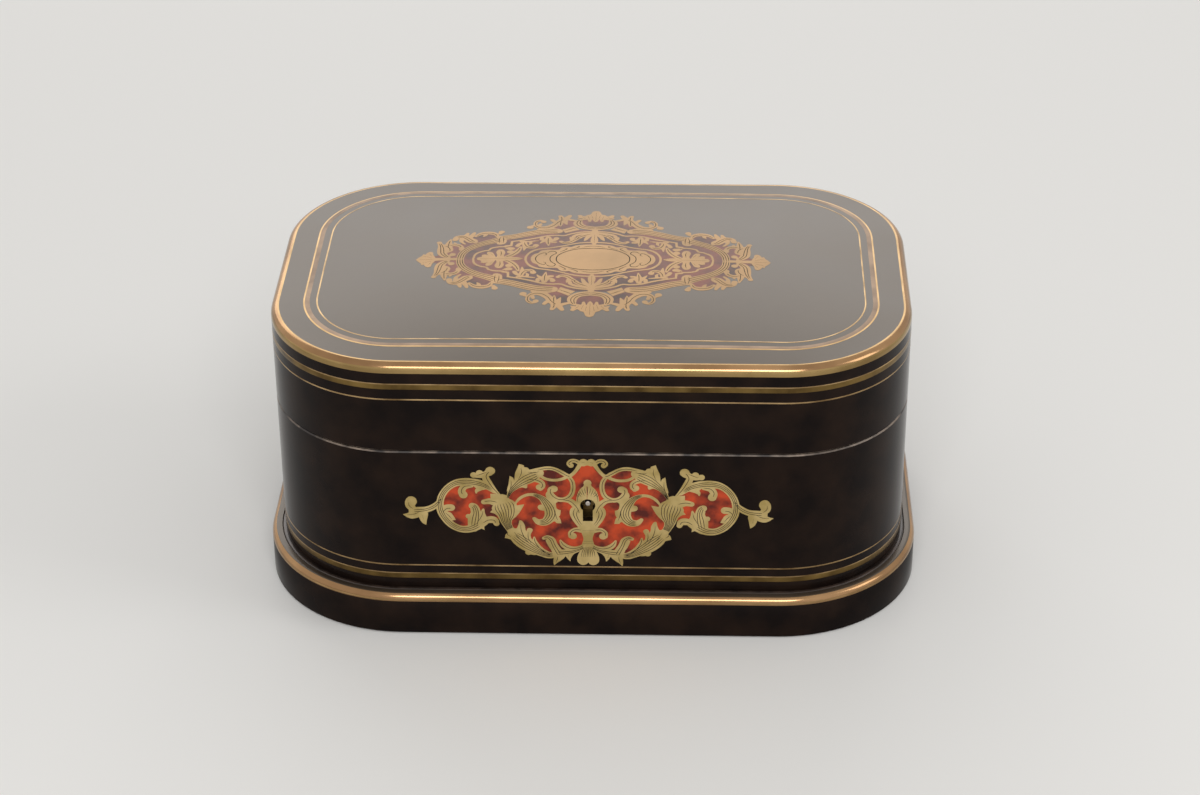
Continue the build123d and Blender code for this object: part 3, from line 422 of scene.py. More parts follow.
def plan_line(inset):
    """Points round the case's rounded plan, drawn in by an inset."""
    radius = CORNER - inset
    corners = []
    for quarter, (side_x, side_y) in enumerate(((1, 1), (-1, 1), (-1, -1), (1, -1))):
        turns = [math.pi / 2 * (quarter + step / CORNER_STEPS) for step in range(CORNER_STEPS + 1)]
        corners.append([(side_x * MIDDLE_X + radius * math.cos(turn), side_y * MIDDLE_Y + radius * math.sin(turn))
                        for turn in turns])
    places = []
    for corner, following, steps in zip(corners, corners[1:] + corners[:1], (16, 6, 16, 6)):
        (x, y), (goal_x, goal_y) = corner[-1], following[0]
        shares = [step / steps for step in range(1, steps)]
        places += corner + [(x + (goal_x - x) * share, y + (goal_y - y) * share) for share in shares]
    return places


def mesh_piece(name, points, faces, materials, smooth=40):
    """A mesh object from points in millimetres, smooth except at edges sharper than an angle."""
    data = bpy.data.meshes.new(name)
    data.from_pydata([(x * MM, y * MM, z * MM) for x, y, z in points], [], faces)
    for material in materials:
        data.materials.append(material)
    piece = bpy.data.objects.new(name, data)
    bpy.context.scene.collection.objects.link(piece)
    shade(piece, smooth)
    return piece


def lid_board():
    """The board: level beneath, with the domed top laid on a grid inside its rounded outline."""
    points = [Vector(place) for place in plan_line(ROUND_WIDTH)]
    rim = list(range(len(points)))
    spacing = 5.0
    for row in range(-16, 17):
        for column in range(-26, 27):
            x, y = column * spacing, row * spacing
            over_x, over_y = max(0, abs(x) - MIDDLE_X), max(0, abs(y) - MIDDLE_Y)
            if math.hypot(over_x, over_y) < CORNER - ROUND_WIDTH - spacing / 2:
                points.append(Vector((x, y)))
    places, _, triangles, _, _, _ = delaunay_2d_cdt(points, [], [rim], 1, 1e-6)
    made = mesh_piece("lid_board", [(x, y, dome(x, y)) for x, y in places], triangles, [painted_lit_top_ebony, ebony])
    wood = bmesh.new()
    wood.from_mesh(made.data)
    if sum(face.normal.z for face in wood.faces) < 0:
        bmesh.ops.reverse_faces(wood, faces=wood.faces)

    def draw_out(put):
        """Draw the open border out, and put each new corner where put says."""
        border = [edge for edge in wood.edges if edge.is_boundary]
        for item in bmesh.ops.extrude_edge_only(wood, edges=border)["geom"]:
            if isinstance(item, bmesh.types.BMVert):
                item.co = put(item.co)

    def full_width(place):
        """The place on the wall's outside that is beside one on the board's top edge."""
        half_x, half_y = MIDDLE_X * MM, MIDDLE_Y * MM
        core = Vector((max(-half_x, min(half_x, place.x)), max(-half_y, min(half_y, place.y))))
        out = core + (place.xy - core).normalized() * (CORNER * MM)
        return out.x, out.y, place.z

    draw_out(lambda place: (place.x, place.y, ROUND_SEAT * MM))
    draw_out(full_width)
    draw_out(lambda place: (place.x, place.y, BOARD_FOOT * MM))
    bmesh.ops.contextual_create(wood, geom=[edge for edge in wood.edges if edge.is_boundary])
    bmesh.ops.recalc_face_normals(wood, faces=wood.faces)
    # Upward faces take the lighter ebony, painted light on wood as black as the sides; the others take the plain ebony.
    for face in wood.faces:
        face.material_index = 0 if face.normal.z > 0.5 else 1
    wood.to_mesh(made.data)
    wood.free()
    shade(made, 30)
    return made


board = settle(lid_board(), "lid", "lid_top_board")

# Stringing: brass strips sawn from sheet and let into grooves in the veneer, a band with a fine
# line beside it, low on the case, high on the lid's side and round the lid's top.
band_brass = finish_of("band_brass", "brass", (0.085, 0.052, 0.018), (0.24, 0.155, 0.05), 12.0, 0.3, metal=1.0,
                       reach=(0.32, 0.72), rough_swing=0.08)
hazed_brass = finish_of("hazed_brass", "brass", (0.15, 0.105, 0.075), (0.25, 0.175, 0.12), 12.0, 0.4, metal=1.0)
# The fine strings' own brass, also used as a painted highlight on the wide strings' upper arris.
line_brass_and_painted_highlight = finish_of("line_brass_and_painted_highlight", "brass", (0.17, 0.105, 0.045), (0.50, 0.34, 0.17), 11.0, 0.3, metal=1.0,
                       reach=(0.32, 0.68))


def strip(name, height, width, body, node, face):
    """A brass strip in the side of the case or the lid, with a painted highlight on its upper arris."""
    low, high = height - width / 2, height + width / 2
    edge = width * 0.16
    section = [(0.8, low), (0, low), (-0.04, low + edge), (-0.05, height), (-0.04, high - edge), (0, high), (0.8, high)]
    made = hoop(name, section, [face, line_brass_and_painted_highlight], marked={4: 1})
    return settle(made, body, node)


strip("case_wide_string", 24.7, 2.6, "case", "case_lower_band", band_brass)
strip("case_fine_string", 29.7, 0.6, "case", "case_fine_line", line_brass_and_painted_highlight)
strip("lid_wide_string", LID_EDGE - 9.9, 2.6, "lid", "lid_side_band", band_brass)
strip("lid_fine_string", LID_EDGE - 15.8, 0.6, "lid", "lid_side_line", line_brass_and_painted_highlight)


def top_strip(name, inset, width, node, face):
    """A brass strip in the lid's top, which it follows, with a painted highlight on its outer arris."""
    section = [(inset, -0.8), (inset, 0.02), (inset + width * 0.26, 0.05), (inset + width * 0.9, 0.05),
               (inset + width, 0.02), (inset + width, -0.8)]
    made = hoop(name, section, [face, painted_highlight_brass], marked={1: 1}, laid_on=board)
    return settle(made, "lid", node)


top_strip("lid_top_wide_string", 13.2, 2.6, "lid_top_band", hazed_brass)
top_strip("lid_top_fine_string", 18.5, 0.6, "lid_top_line", line_brass_and_painted_highlight)

# Front marquetry: red shell and engraved brass sawn together, glued in a recess of the front wall and
# levelled, with the keyhole through its shield. The engraved lines are filled with black wax.
def curve_between(before, start, end, after, steps):
    """Places from start almost to end on a smooth curve through both, with values past x and y carried along."""
    return [tuple(0.5 * (2 * b + (c - a) * t + (2 * a - 5 * b + 4 * c - d) * t * t + (3 * b - a - 3 * c + d) * t ** 3)
                  for a, b, c, d in zip(before, start, end, after))
            for t in [step / steps for step in range(steps)]]


def smooth_line(points, steps=7):
    """A smooth open line through the points."""
    size = len(points)
    line = []
    for index in range(size - 1):
        before, after = points[max(0, index - 1)], points[min(size - 1, index + 2)]
        line += curve_between(before, points[index], points[index + 1], after, steps)
    line.append(tuple(points[-1]))
    return line


def ribbon(points, widths, steps=7):
    """The outline of a stroke of changing width along a smooth line, round at both ends."""
    line = smooth_line([(x, y, w / 2) for (x, y), w in zip(points, widths)], steps)
    last = len(line) - 1
    left, right = [], []
    for index, (x, y, half) in enumerate(line):
        x1, y1 = line[max(0, index - 1)][:2]
        x2, y2 = line[min(last, index + 1)][:2]
        heading = math.atan2(y2 - y1, x2 - x1)
        half = max(half, 0.04)

        def around(angle):
            return (x + half * math.cos(heading + angle), y + half * math.sin(heading + angle))

        if index == 0 and half > 0.25:
            left += [around(-math.pi / 2 - math.pi * s / 8) for s in range(1, 8)]
        left.append(around(math.pi / 2))
        right.append(around(-math.pi / 2))
        if index == last and half > 0.25:
            left += [around(math.pi / 2 - math.pi * s / 8) for s in range(1, 8)]
    return left + right[::-1]


def leaf(points, steps=5):
    """The outline of a leaf or other closed shape with smooth sides. A corner is a point given twice."""
    smooth = []
    size = len(points)
    for index in range(size):
        start, end, after = points[index], points[(index + 1) % size], points[(index + 2) % size]
        if start != end:
            smooth += curve_between(points[index - 1], start, end, after, steps)
    return smooth


def disc(x, y, radius, sides=20):
    """A round outline."""
    turns = [2 * math.pi * side / sides for side in range(sides)]
    return [(x + radius * math.cos(turn), y + radius * math.sin(turn)) for turn in turns]


def tapered(count, width):
    """An engraved line's widths: full along it and fine at both ends."""
    return [width * 0.3] + [width] * (count - 2) + [width * 0.3]


def beside(points, widths, share, width=0.26, trim=(0.04, 0.94)):
    """An engraved line that runs along a stroke, at a share of its half width to one side."""
    line = smooth_line([(x, y, w / 2) for (x, y), w in zip(points, widths)])
    count = len(line)
    line = line[int(count * trim[0]):max(int(count * trim[1]), int(count * trim[0]) + 3)]
    moved = []
    for index, (x, y, half) in enumerate(line):
        x1, y1 = line[max(0, index - 1)][:2]
        x2, y2 = line[min(len(line) - 1, index + 1)][:2]
        size = math.hypot(x2 - x1, y2 - y1) or 1
        moved.append((x - (y2 - y1) / size * half * share, y + (x2 - x1) / size * half * share))
    moved = moved[::3] + [moved[-1]]
    return ribbon(moved, tapered(len(moved), width), 2)


SHELL, BRASS, WAX, KEYHOLE = 0, 1, 2, 3
MIDDLE, SHEET_FOOT, SHEET_SCALE, FOOT_HEIGHT = 77.75, 59.55, 0.9774, 29.7


def front_drawing():
    """Left half of the front's marquetry, in the order it is laid, in sheet millimetres."""
    work, later = [], []

    def shell(*points):
        work.append((SHELL, leaf(points)))

    def plate(*points):
        work.append((BRASS, leaf(points)))

    def bulb(x, y, radius):
        work.append((BRASS, disc(x, y, radius)))

    def scroll(points, widths, lines=(), trim=(0.04, 0.94)):
        work.append((BRASS, ribbon(points, widths)))
        for share in lines:
            later.append((WAX, beside(points, widths, share, trim=trim)))

    def cut(points, width=0.26):
        later.append((WAX, ribbon(points, tapered(len(points), width), 4)))

    # Shell grounds
    shell((25, 19.6), (21, 22.6), (19.4, 27), (19.4, 33), (22, 38), (25, 40.2), (28.5, 40), (32, 38), (36, 37),
          (41.5, 36.6), (42, 32), (41, 28), (42.4, 25.6), (40.6, 22), (36, 21), (31, 20.4), (27, 19.4))
    shell((45.2, 26.8), (46.4, 23), (49, 20.4), (53, 17.4), (58, 16.4), (58.4, 13.2), (62, 12.4), (66, 13.2),
          (69.6, 15.6), (71.6, 19), (71.6, 24), (69.5, 26.6), (66, 28.4), (61, 27), (57, 25.2), (52, 25.4), (49.4, 28),
          (47, 28.6))
    shell((75.4, 9.4), (74.6, 12.2), (71.2, 15.6), (72.2, 19), (72.2, 22.8), (70.8, 25.8), (72.6, 27.8), (74.5, 29),
          (MIDDLE, 30), (MIDDLE, 9.4))
    shell((48.4, 29.6), (51, 26), (55, 24.2), (60, 25.6), (66, 26.6), (70, 27), (72.6, 29.6), (71.6, 33),
          (74.4, 39.6), (77, 44), (76.4, 48.6), (72.5, 50.6), (68.5, 49.6), (66.6, 52), (62.6, 53.6), (58.6, 52),
          (55, 48), (50, 43), (46.8, 41.2), (46.4, 38.4), (49, 34))
    # Left ring and its stalk
    ring = [(40.4, 23.2), (37, 20.4), (33, 18.9), (29, 18.5), (25, 19.1), (21.6, 21.6), (19.3, 25.2), (18.4, 29),
            (18.8, 33), (20.6, 36.8), (23.2, 39.7), (26.5, 41.4), (30, 41.3), (33.2, 39.6), (36, 37.4)]
    scroll(ring, [1.4, 2.6, 3.4, 3.8, 3.2, 2.9, 2.9, 3.0, 3.3, 3.2, 3.2, 3.2, 3.6, 4.2, 4.0], (-0.45, 0.0, 0.45))
    plate((31, 17), (36, 17.8), (40, 20.6), (42.8, 24.4), (40.6, 23.4), (36.5, 21.8), (33, 21.4))
    scroll([(19.4, 26), (16.8, 29.8), (13.4, 31.9), (9.6, 32.6), (7.4, 32.8)], [0.9, 2.6, 2.8, 3.4, 3.6], (-0.3, 0.25))
    plate((8.3, 30.6), (9.1, 28.6), (8.7, 26.8), (7.3, 25.8), (5.8, 26), (4.6, 27.5), (4.3, 29.6), (4.9, 31.4),
          (6.6, 32.9), (8.6, 33.6), (10.5, 32))
    plate((3.2, 34.5), (3.2, 34.5), (5.2, 33.9), (7.2, 32.4), (9.8, 31.8), (11.6, 33.5), (10, 35.6), (7.2, 36.6),
          (5, 36))
    plate((9.9, 34.6), (9.9, 36.6), (11, 38.6), (12.5, 39.6), (12.5, 39.6), (12.9, 37), (13.4, 33.8), (11.5, 33))
    cut([(5.8, 28.6), (6, 30.4), (7.6, 31.9)])
    cut([(5, 34.6), (7.8, 34.4), (10, 33.2)])
    cut([(11.2, 35), (11.5, 37)])
    # Crest on the ring
    scroll([(42.4, 24.6), (39.8, 21.6), (38, 18.6), (37, 16), (37.6, 14.2), (38.8, 12.9)],
           [0.8, 2.4, 3.0, 2.8, 2.6, 3.0], (0.2,))
    bulb(39, 13, 1.95)
    bulb(34.7, 14.2, 1.5)
    bulb(32.3, 15.1, 1.35)
    scroll([(39, 14), (36, 15), (34, 15.4), (32.4, 15.2)], [2.4, 2.8, 2.2, 2.0])
    cut([(33.4, 15.4), (35.4, 14.6), (37.6, 13.6)])
    # Leaves inside the ring
    scroll([(31.4, 20.4), (28.6, 20.8), (27.3, 22.8), (27.9, 24.7)], [1.4, 2.6, 3.0, 3.5], (0.1,))
    scroll([(37.4, 21.2), (35, 21.5), (33.4, 22.6), (33.1, 24)], [1.4, 2.0, 1.6, 0.4])
    scroll([(19.2, 33), (20.8, 31.3), (22.8, 31)], [3.0, 3.2, 3.2], (0.2,))
    plate((19.6, 33), (22.3, 33.3), (23.7, 35.2), (24.5, 37), (24.5, 37), (22.8, 37.4), (21, 37.8), (19.8, 35.5))
    cut([(20.4, 33.6), (21.8, 35), (22.9, 36.6)])
    scroll([(31.6, 40.4), (32.2, 36.6), (32.7, 33.4), (32.2, 30.9), (31.4, 30.1)], [4.6, 5.6, 4.2, 3.6, 3.0],
           (-0.35, 0.1, 0.5))
    bulb(29.7, 35.2, 1.15)
    plate((33.2, 41.2), (34.6, 41.1), (36, 41.8), (36, 41.8), (35.9, 40.2), (36.2, 38.4), (34, 38))
    plate((29.9, 36.9), (30.4, 40.6), (35, 40), (37.4, 37.4), (36.4, 33.6), (36.2, 31.8), (35.6, 31.3), (34.6, 33),
          (33, 37))
    cut([(35.6, 32.4), (35, 35), (33, 38.6)])
    # Leafy waist
    waist = [(43.3, 27.4), (44.1, 30), (44.9, 33.5), (44.8, 37), (45.6, 39.8), (47, 42.4)]
    scroll(waist, [6.4, 10.2, 8.6, 5.0, 3.4, 3.2], (-0.75, -0.5, -0.25, 0.0, 0.25, 0.5, 0.72), trim=(0.12, 0.9))
    plate((40.6, 26.6), (41, 24.9), (42.6, 24.6), (44, 24.6), (45.3, 24.9), (45.9, 27), (43.4, 28.4))
    plate((38.8, 24), (38.8, 24), (42.2, 24.3), (45.2, 24.8), (46.2, 27.6), (44, 30), (40.2, 29), (38.9, 26.4))
    plate((47, 30.6), (49, 29.7), (52.3, 29), (52.3, 29), (51.2, 31.4), (49.7, 34), (47.6, 36), (46, 33))
    scroll([(41.4, 28.4), (38.6, 27.7), (36.1, 28.1)], [3.8, 2.9, 2.3], (0.1,))
    plate((41, 30.6), (40, 31.3), (38.4, 33.1), (38.4, 33.1), (40, 33.6), (41.6, 34.6))
    scroll([(35.5, 38.2), (37.6, 36.8), (40, 36.9), (40.9, 38.6)], [2.6, 3.2, 3.2, 2.4], (0.1,))
    cut([(45.4, 42.6), (45.2, 43.8), (46.6, 45)])
    # Upper leaves and bands
    scroll([(45.4, 26.4), (46.8, 22.8), (49, 19.9), (52, 17.2), (55.4, 15.2), (58.6, 13.8)],
           [0.8, 2.0, 3.6, 5.6, 6.0, 3.6], (-0.4, 0.0, 0.4, 0.75))
    plate((45.8, 23), (46.2, 19), (46.7, 15.3), (46.7, 15.3), (48, 16.2), (48.5, 17.4), (48.9, 14), (49.9, 11.4),
          (50.5, 9.5), (50.5, 9.5), (52.4, 10.2), (52.5, 11), (52.5, 11), (53.9, 11.3), (55, 12.4), (57, 12.4),
          (56, 15), (52, 17.4))
    cut([(51.2, 11.4), (51.5, 13.6), (50.2, 17)])
    cut([(47.2, 17.6), (47.2, 20), (46.6, 22.6)])
    cut([(54, 13.4), (56.5, 13.7), (58.6, 13.1)])
    scroll([(55.4, 13.2), (58.5, 12.1), (62, 11.4), (65, 12), (68, 13.8), (70.2, 15.1), (71.6, 14.4), (73.2, 12.4),
            (74.4, 10.4), (75.2, 8.8)], [2.2, 1.8, 1.7, 1.7, 1.9, 1.8, 1.5, 1.5, 1.7, 1.8], (0.1,), trim=(0.1, 0.6))
    scroll([(58.2, 13.9), (60, 16), (62.5, 17), (65.5, 17.1), (68, 16.4), (69.9, 15.2)], [1.3, 1.3, 1.3, 1.3, 1.4, 1.5])
    scroll([(54, 17), (57, 17), (59.3, 18.2), (59.9, 20), (58.9, 21.4)], [2.2, 2.3, 2.2, 2.0, 1.9], (0.1,))
    bulb(58.4, 20.6, 1.35)
    plate((50.2, 19), (51.8, 18), (53.3, 18.8), (53.7, 20.2), (53.2, 21.2), (51.6, 20.8), (49.6, 21.2))
    scroll([(74.4, 8.7), (73, 7.8), (71.3, 7.9), (70.4, 9.1), (71.2, 10)], [1.8, 1.7, 1.8, 1.9, 2.3], (0.0,))
    bulb(76.2, 8.6, 1.75)
    plate((74.3, 8), (MIDDLE, 8), (MIDDLE, 9.9), (MIDDLE, 9.9), (75, 10))
    cut([(75.4, 8.8), (76.6, 8.4)])
    # Right scroll
    scroll([(70.2, 15.3), (71.7, 18), (71.9, 21.5), (70.8, 24.7), (68.2, 26.5), (65.4, 26.2), (63.2, 24.2),
            (62.8, 21.9), (64.1, 21.1)], [1.7, 1.9, 2.0, 2.1, 2.1, 2.1, 2.4, 2.2, 2.6], (0.05,))
    bulb(64.3, 21.4, 1.55)
    plate((60.9, 24.4), (62.4, 22.4), (64, 25.4), (66, 27.2), (65, 28.4), (65.1, 31.4), (63, 29))
    scroll([(67.8, 26.6), (70.4, 27), (72.3, 28.6), (73.8, 30.8), (74.6, 33.5)], [2.0, 2.4, 2.8, 3.0, 3.0], (0.1,))
    # Middle scroll
    scroll([(48.2, 29.6), (50.2, 26.5), (53, 24.6), (56, 24.3), (59, 25.7), (61.2, 28.3), (62.7, 31.5), (62.8, 34.5),
            (60.8, 37.3), (58, 37.6), (56.2, 36)],
           [0.6, 1.2, 1.3, 1.5, 2.4, 4.0, 5.0, 5.0, 3.8, 2.8, 1.6], (-0.6, -0.2, 0.2, 0.6), trim=(0.3, 0.9))
    scroll([(62, 30), (60.3, 30.7), (59, 30.4)], [2.4, 2.6, 2.7])
    plate((63.8, 29), (65.6, 31.2), (66.9, 31.7), (66.9, 31.7), (66.4, 34.5), (64, 35.4))
    plate((64, 34), (66.3, 35.2), (67.1, 38.1), (67.1, 38.1), (65.2, 38), (64.4, 37.2), (62.4, 37.4))
    cut([(64.6, 31.6), (64.8, 34), (65.6, 36.6)])
    # Shield and fan round the keyhole
    bulb(MIDDLE, 18.4, 1.6)
    plate((MIDDLE, 19.4), (75.9, 20.2), (74.2, 22.3), (73.4, 25), (73, 27.6), (72.4, 29.6), (71.2, 30.5), (70.6, 31.7),
          (70.5, 33.6), (71.2, 35.6), (72.4, 37.8), (73.6, 39.6), (75, 42.4), (75.9, 45.6), (75.4, 48.6),
          (MIDDLE, 49.6), (MIDDLE, 49.6))
    scroll([(75, 41.3), (72.4, 41.2), (70.7, 42.7), (70.8, 44.4)], [2.6, 1.8, 1.8, 2.0], (0.0,))
    bulb(71.7, 44.3, 1.55)
    for turn in range(-5, 6):
        angle = math.radians(turn * 9.5)
        reach = 8.0 - abs(turn) * 0.28
        inner = 3.9 if turn % 2 == 0 else 4.8
        cut([(MIDDLE + inner * math.sin(angle), 28.3 - inner * math.cos(angle)),
             (MIDDLE + reach * 0.75 * math.sin(angle), 28.3 - reach * 0.75 * math.cos(angle)),
             (MIDDLE + reach * math.sin(angle), 28.3 - reach * math.cos(angle))], 0.24)
    cut([(72.7, 30.6), (71.9, 33), (72.8, 36), (74.8, 39.4)])
    cut([(73.9, 31.4), (73.2, 33.6), (74, 36.4), (75.4, 38.8)])
    cut([(73.6, 27.6), (73.9, 24.8), (74.9, 22.6)])
    cut([(75.9, 46.9), (MIDDLE, 46.9)], 0.24)
    cut([(75.6, 48), (MIDDLE, 48)], 0.24)
    cut([(75.4, 41.6), (MIDDLE, 41.4)])
    # Foot
    plate((MIDDLE, 48.4), (75.9, 49.2), (74.3, 52), (73.3, 55), (73.6, 57.3), (75.3, 58.6), (77, 58.2),
          (MIDDLE, 57.2), (MIDDLE, 57.2))
    for shift in (0.25, 0.9, 1.6, 2.4):
        cut([(MIDDLE - shift * 0.5, 49.6), (MIDDLE - shift, 52), (MIDDLE - shift * 1.15, 54.6)], 0.24)
    # Arc beside the foot, and the lower band
    scroll([(66.6, 46.6), (67.6, 48.6), (69.6, 50.1), (72, 50.5), (74.4, 49.9), (76.4, 48.6)],
           [0.9, 2.2, 2.4, 2.0, 1.8, 1.6], (0.0,))
    scroll([(65, 53), (68.4, 52.6), (71.6, 52), (74.6, 50.8), (76.2, 49.6)], [3.6, 3.2, 2.2, 1.5, 1.2], (-0.3, 0.3))
    scroll([(47.2, 43.4), (50, 46), (53.2, 48.7), (56.8, 51.3), (60.8, 53.5), (64.8, 54)],
           [4.2, 6.4, 6.6, 4.8, 3.2, 2.4], (-0.6, -0.3, 0.0, 0.3, 0.6), trim=(0.1, 0.94))
    plate((45.3, 41.2), (45.5, 42.7), (44.5, 43.9), (44.1, 45.6), (44.1, 45.6), (46.9, 46.5), (49, 48.4), (50.4, 46),
          (49, 42.5), (47, 40.4))
    bulb(53.6, 52.6, 1.35)
    plate((52.4, 50.4), (53, 52), (54.6, 53.7), (57, 53.6), (56, 51))
    plate((46.6, 40.6), (48.8, 40.9), (49.7, 39.1), (50.2, 37), (51.3, 37.3), (52.3, 39.3), (52.5, 41.2), (52.9, 42.3),
          (52.9, 42.3), (53.4, 40.9), (54.6, 40.6), (55.5, 41.6), (54.6, 43.8), (54.5, 47), (50, 46))
    cut([(50.6, 39), (50.9, 42), (52.2, 45.6), (54.4, 48.6)])
    cut([(48, 42.6), (49.6, 45.4), (52, 48)])
    cut([(53.6, 42.6), (53.6, 45.4), (54.8, 48.2)])
    scroll([(56, 45.2), (56.4, 47.6), (58.2, 50.6), (60.6, 52.8), (63, 54)], [0.8, 1.8, 2.2, 2.4, 2.4], (0.0,))
    scroll([(59.9, 45.5), (61.4, 45.1), (62.9, 46.4), (63.8, 49), (65.2, 52), (66.2, 54)],
           [1.5, 2.0, 3.2, 3.5, 4.2, 4.4], (-0.3, 0.25))
    plate((60.8, 46.2), (61.4, 48.8), (63, 51.2), (64, 48))
    plate((64, 54), (63.6, 57.2), (63.9, 59), (63.9, 59), (65.2, 57.6), (67, 56.2), (68.6, 54.2), (68, 52.5),
          (65, 52.5))
    plate((68, 52.4), (69, 55), (70.5, 56.9), (70.5, 56.9), (70.9, 55), (72, 53.2), (74, 51.6), (71, 50.6))
    plate((58.6, 54), (60.6, 55.3), (63.6, 55.2), (62, 53))
    cut([(65.4, 54.4), (65.2, 56), (64.5, 57.8)])
    cut([(69.4, 53), (69.9, 54.8)])
    return work + later


def winding(places, outline):
    """For each place, how many times the outline goes round it."""
    turns = numpy.zeros(len(places), dtype=int)
    x, y = places[:, 0], places[:, 1]
    for (x1, y1), (x2, y2) in zip(outline, outline[1:] + outline[:1]):
        side = (x2 - x1) * (y - y1) - (x - x1) * (y2 - y1)
        turns += ((y1 <= y) & (y2 > y) & (side > 0)).astype(int)
        turns -= ((y1 > y) & (y2 <= y) & (side < 0)).astype(int)
    return turns


def lay_marquetry(name, work, put, depth, materials, spacing=0.0, y_up=False):
    """A thin plate each of shell, brass and wax. Where the drawing's outlines overlap, the last laid shows.

    put gives the point for a place on the sheet and a lift above the wood, depth is how deep the shell
    goes, spacing adds places for plates that follow a dome, and y_up is for a sheet whose y runs up.
    """
    points, edges = [], []
    for _, outline in work:
        start, count = len(points), len(outline)
        points += [Vector(place) for place in outline]
        edges += [(start + step, start + (step + 1) % count) for step in range(count)]
    if spacing:
        low_x, high_x = min(p.x for p in points), max(p.x for p in points)
        low_y, high_y = min(p.y for p in points), max(p.y for p in points)
        for column in range(int((high_x - low_x) / spacing)):
            for row in range(int((high_y - low_y) / spacing)):
                points.append(Vector((low_x + spacing * (column + 0.5), low_y + spacing * (row + 0.5))))
    places, _, triangles, _, _, _ = delaunay_2d_cdt(points, edges, [], 0, 1e-4)
    flat = numpy.array([tuple(place) for place in places])
    corners = numpy.array(triangles)
    middles = flat[corners].mean(axis=1)
    kinds = numpy.full(len(corners), -1)
    for kind, outline in work:
        box = numpy.array(outline)
        near = numpy.all((middles >= box.min(axis=0)) & (middles <= box.max(axis=0)), axis=1).nonzero()[0]
        kinds[near[winding(middles[near], outline) != 0]] = kind
    plates = []
    for kind, over, under in ((SHELL, 0.02, -depth), (BRASS, 0.05, -0.25), (WAX, 0.035, -0.2)):
        chosen = corners[kinds == kind]
        used = numpy.unique(chosen).tolist()
        number = {place: index for index, place in enumerate(used)}
        half = len(used)
        body = [put(*flat[place], over) for place in used] + [put(*flat[place], under) for place in used]
        faces, sides = [], {}
        for triangle in chosen:
            a, b, c = (number[int(place)] for place in triangle)
            (ax, ay), (bx, by), (cx, cy) = (flat[place] for place in triangle)
            if ((bx - ax) * (cy - ay) - (cx - ax) * (by - ay) < 0) != y_up:
                b, c = c, b
            faces += [(a, b, c), (a + half, c + half, b + half)]
            for start, end in ((a, b), (b, c), (c, a)):
                if (end, start) in sides:
                    del sides[(end, start)]
                else:
                    sides[(start, end)] = True
        faces += [(end, start, start + half, end + half) for start, end in sides]
        plates.append(mesh_piece(name + "_" + ("shell", "brass", "wax")[kind], body, faces, [materials[kind]], 25))
    return plates


red_shell = finish_of("red_shell", "red_shell", (0.085, 0.012, 0.009), (0.52, 0.060, 0.018), 9.0, 0.24,
                      reach=(0.38, 0.60), index=1.35, tint=(1.0, 0.8, 0.7))
fret_brass = finish_of("engraved_brass", "engraved_brass", (0.44, 0.325, 0.12), (0.64, 0.49, 0.225), 7.0, 0.42,
                       metal=1.0, bump=0.01, rough_swing=0.06)
wax = finish_of("engraving_wax", "ebonised_wood", (0.008, 0.005, 0.003), (0.022, 0.014, 0.007), 4.0, 0.6,
                index=1.25)
half = front_drawing()
sheet = half + [(kind, [(2 * MIDDLE - x, y) for x, y in outline][::-1]) for kind, outline in half]
sheet.append((KEYHOLE, disc(MIDDLE, 29.32, KEYHOLE_RADIUS, 40)))
sheet.append((KEYHOLE, [(MIDDLE - 2, 29.3), (MIDDLE + 2, 29.3), (MIDDLE + 2, 36.9), (MIDDLE - 2, 36.9)]))


def on_front(x, y, lift):
    """The point on the case's front for a place on the sheet, whose y runs down."""
    return x - MIDDLE, -DEPTH / 2 - lift, FOOT_HEIGHT + SHEET_SCALE * (SHEET_FOOT - y)


ground, fret, engraving = lay_marquetry("front", sheet, on_front, 0.6, [red_shell, fret_brass, wax])
settle(ground, "case", "front_shell_panel")
settle(fret, "case", "front_brass_fret")
settle(engraving, "case")

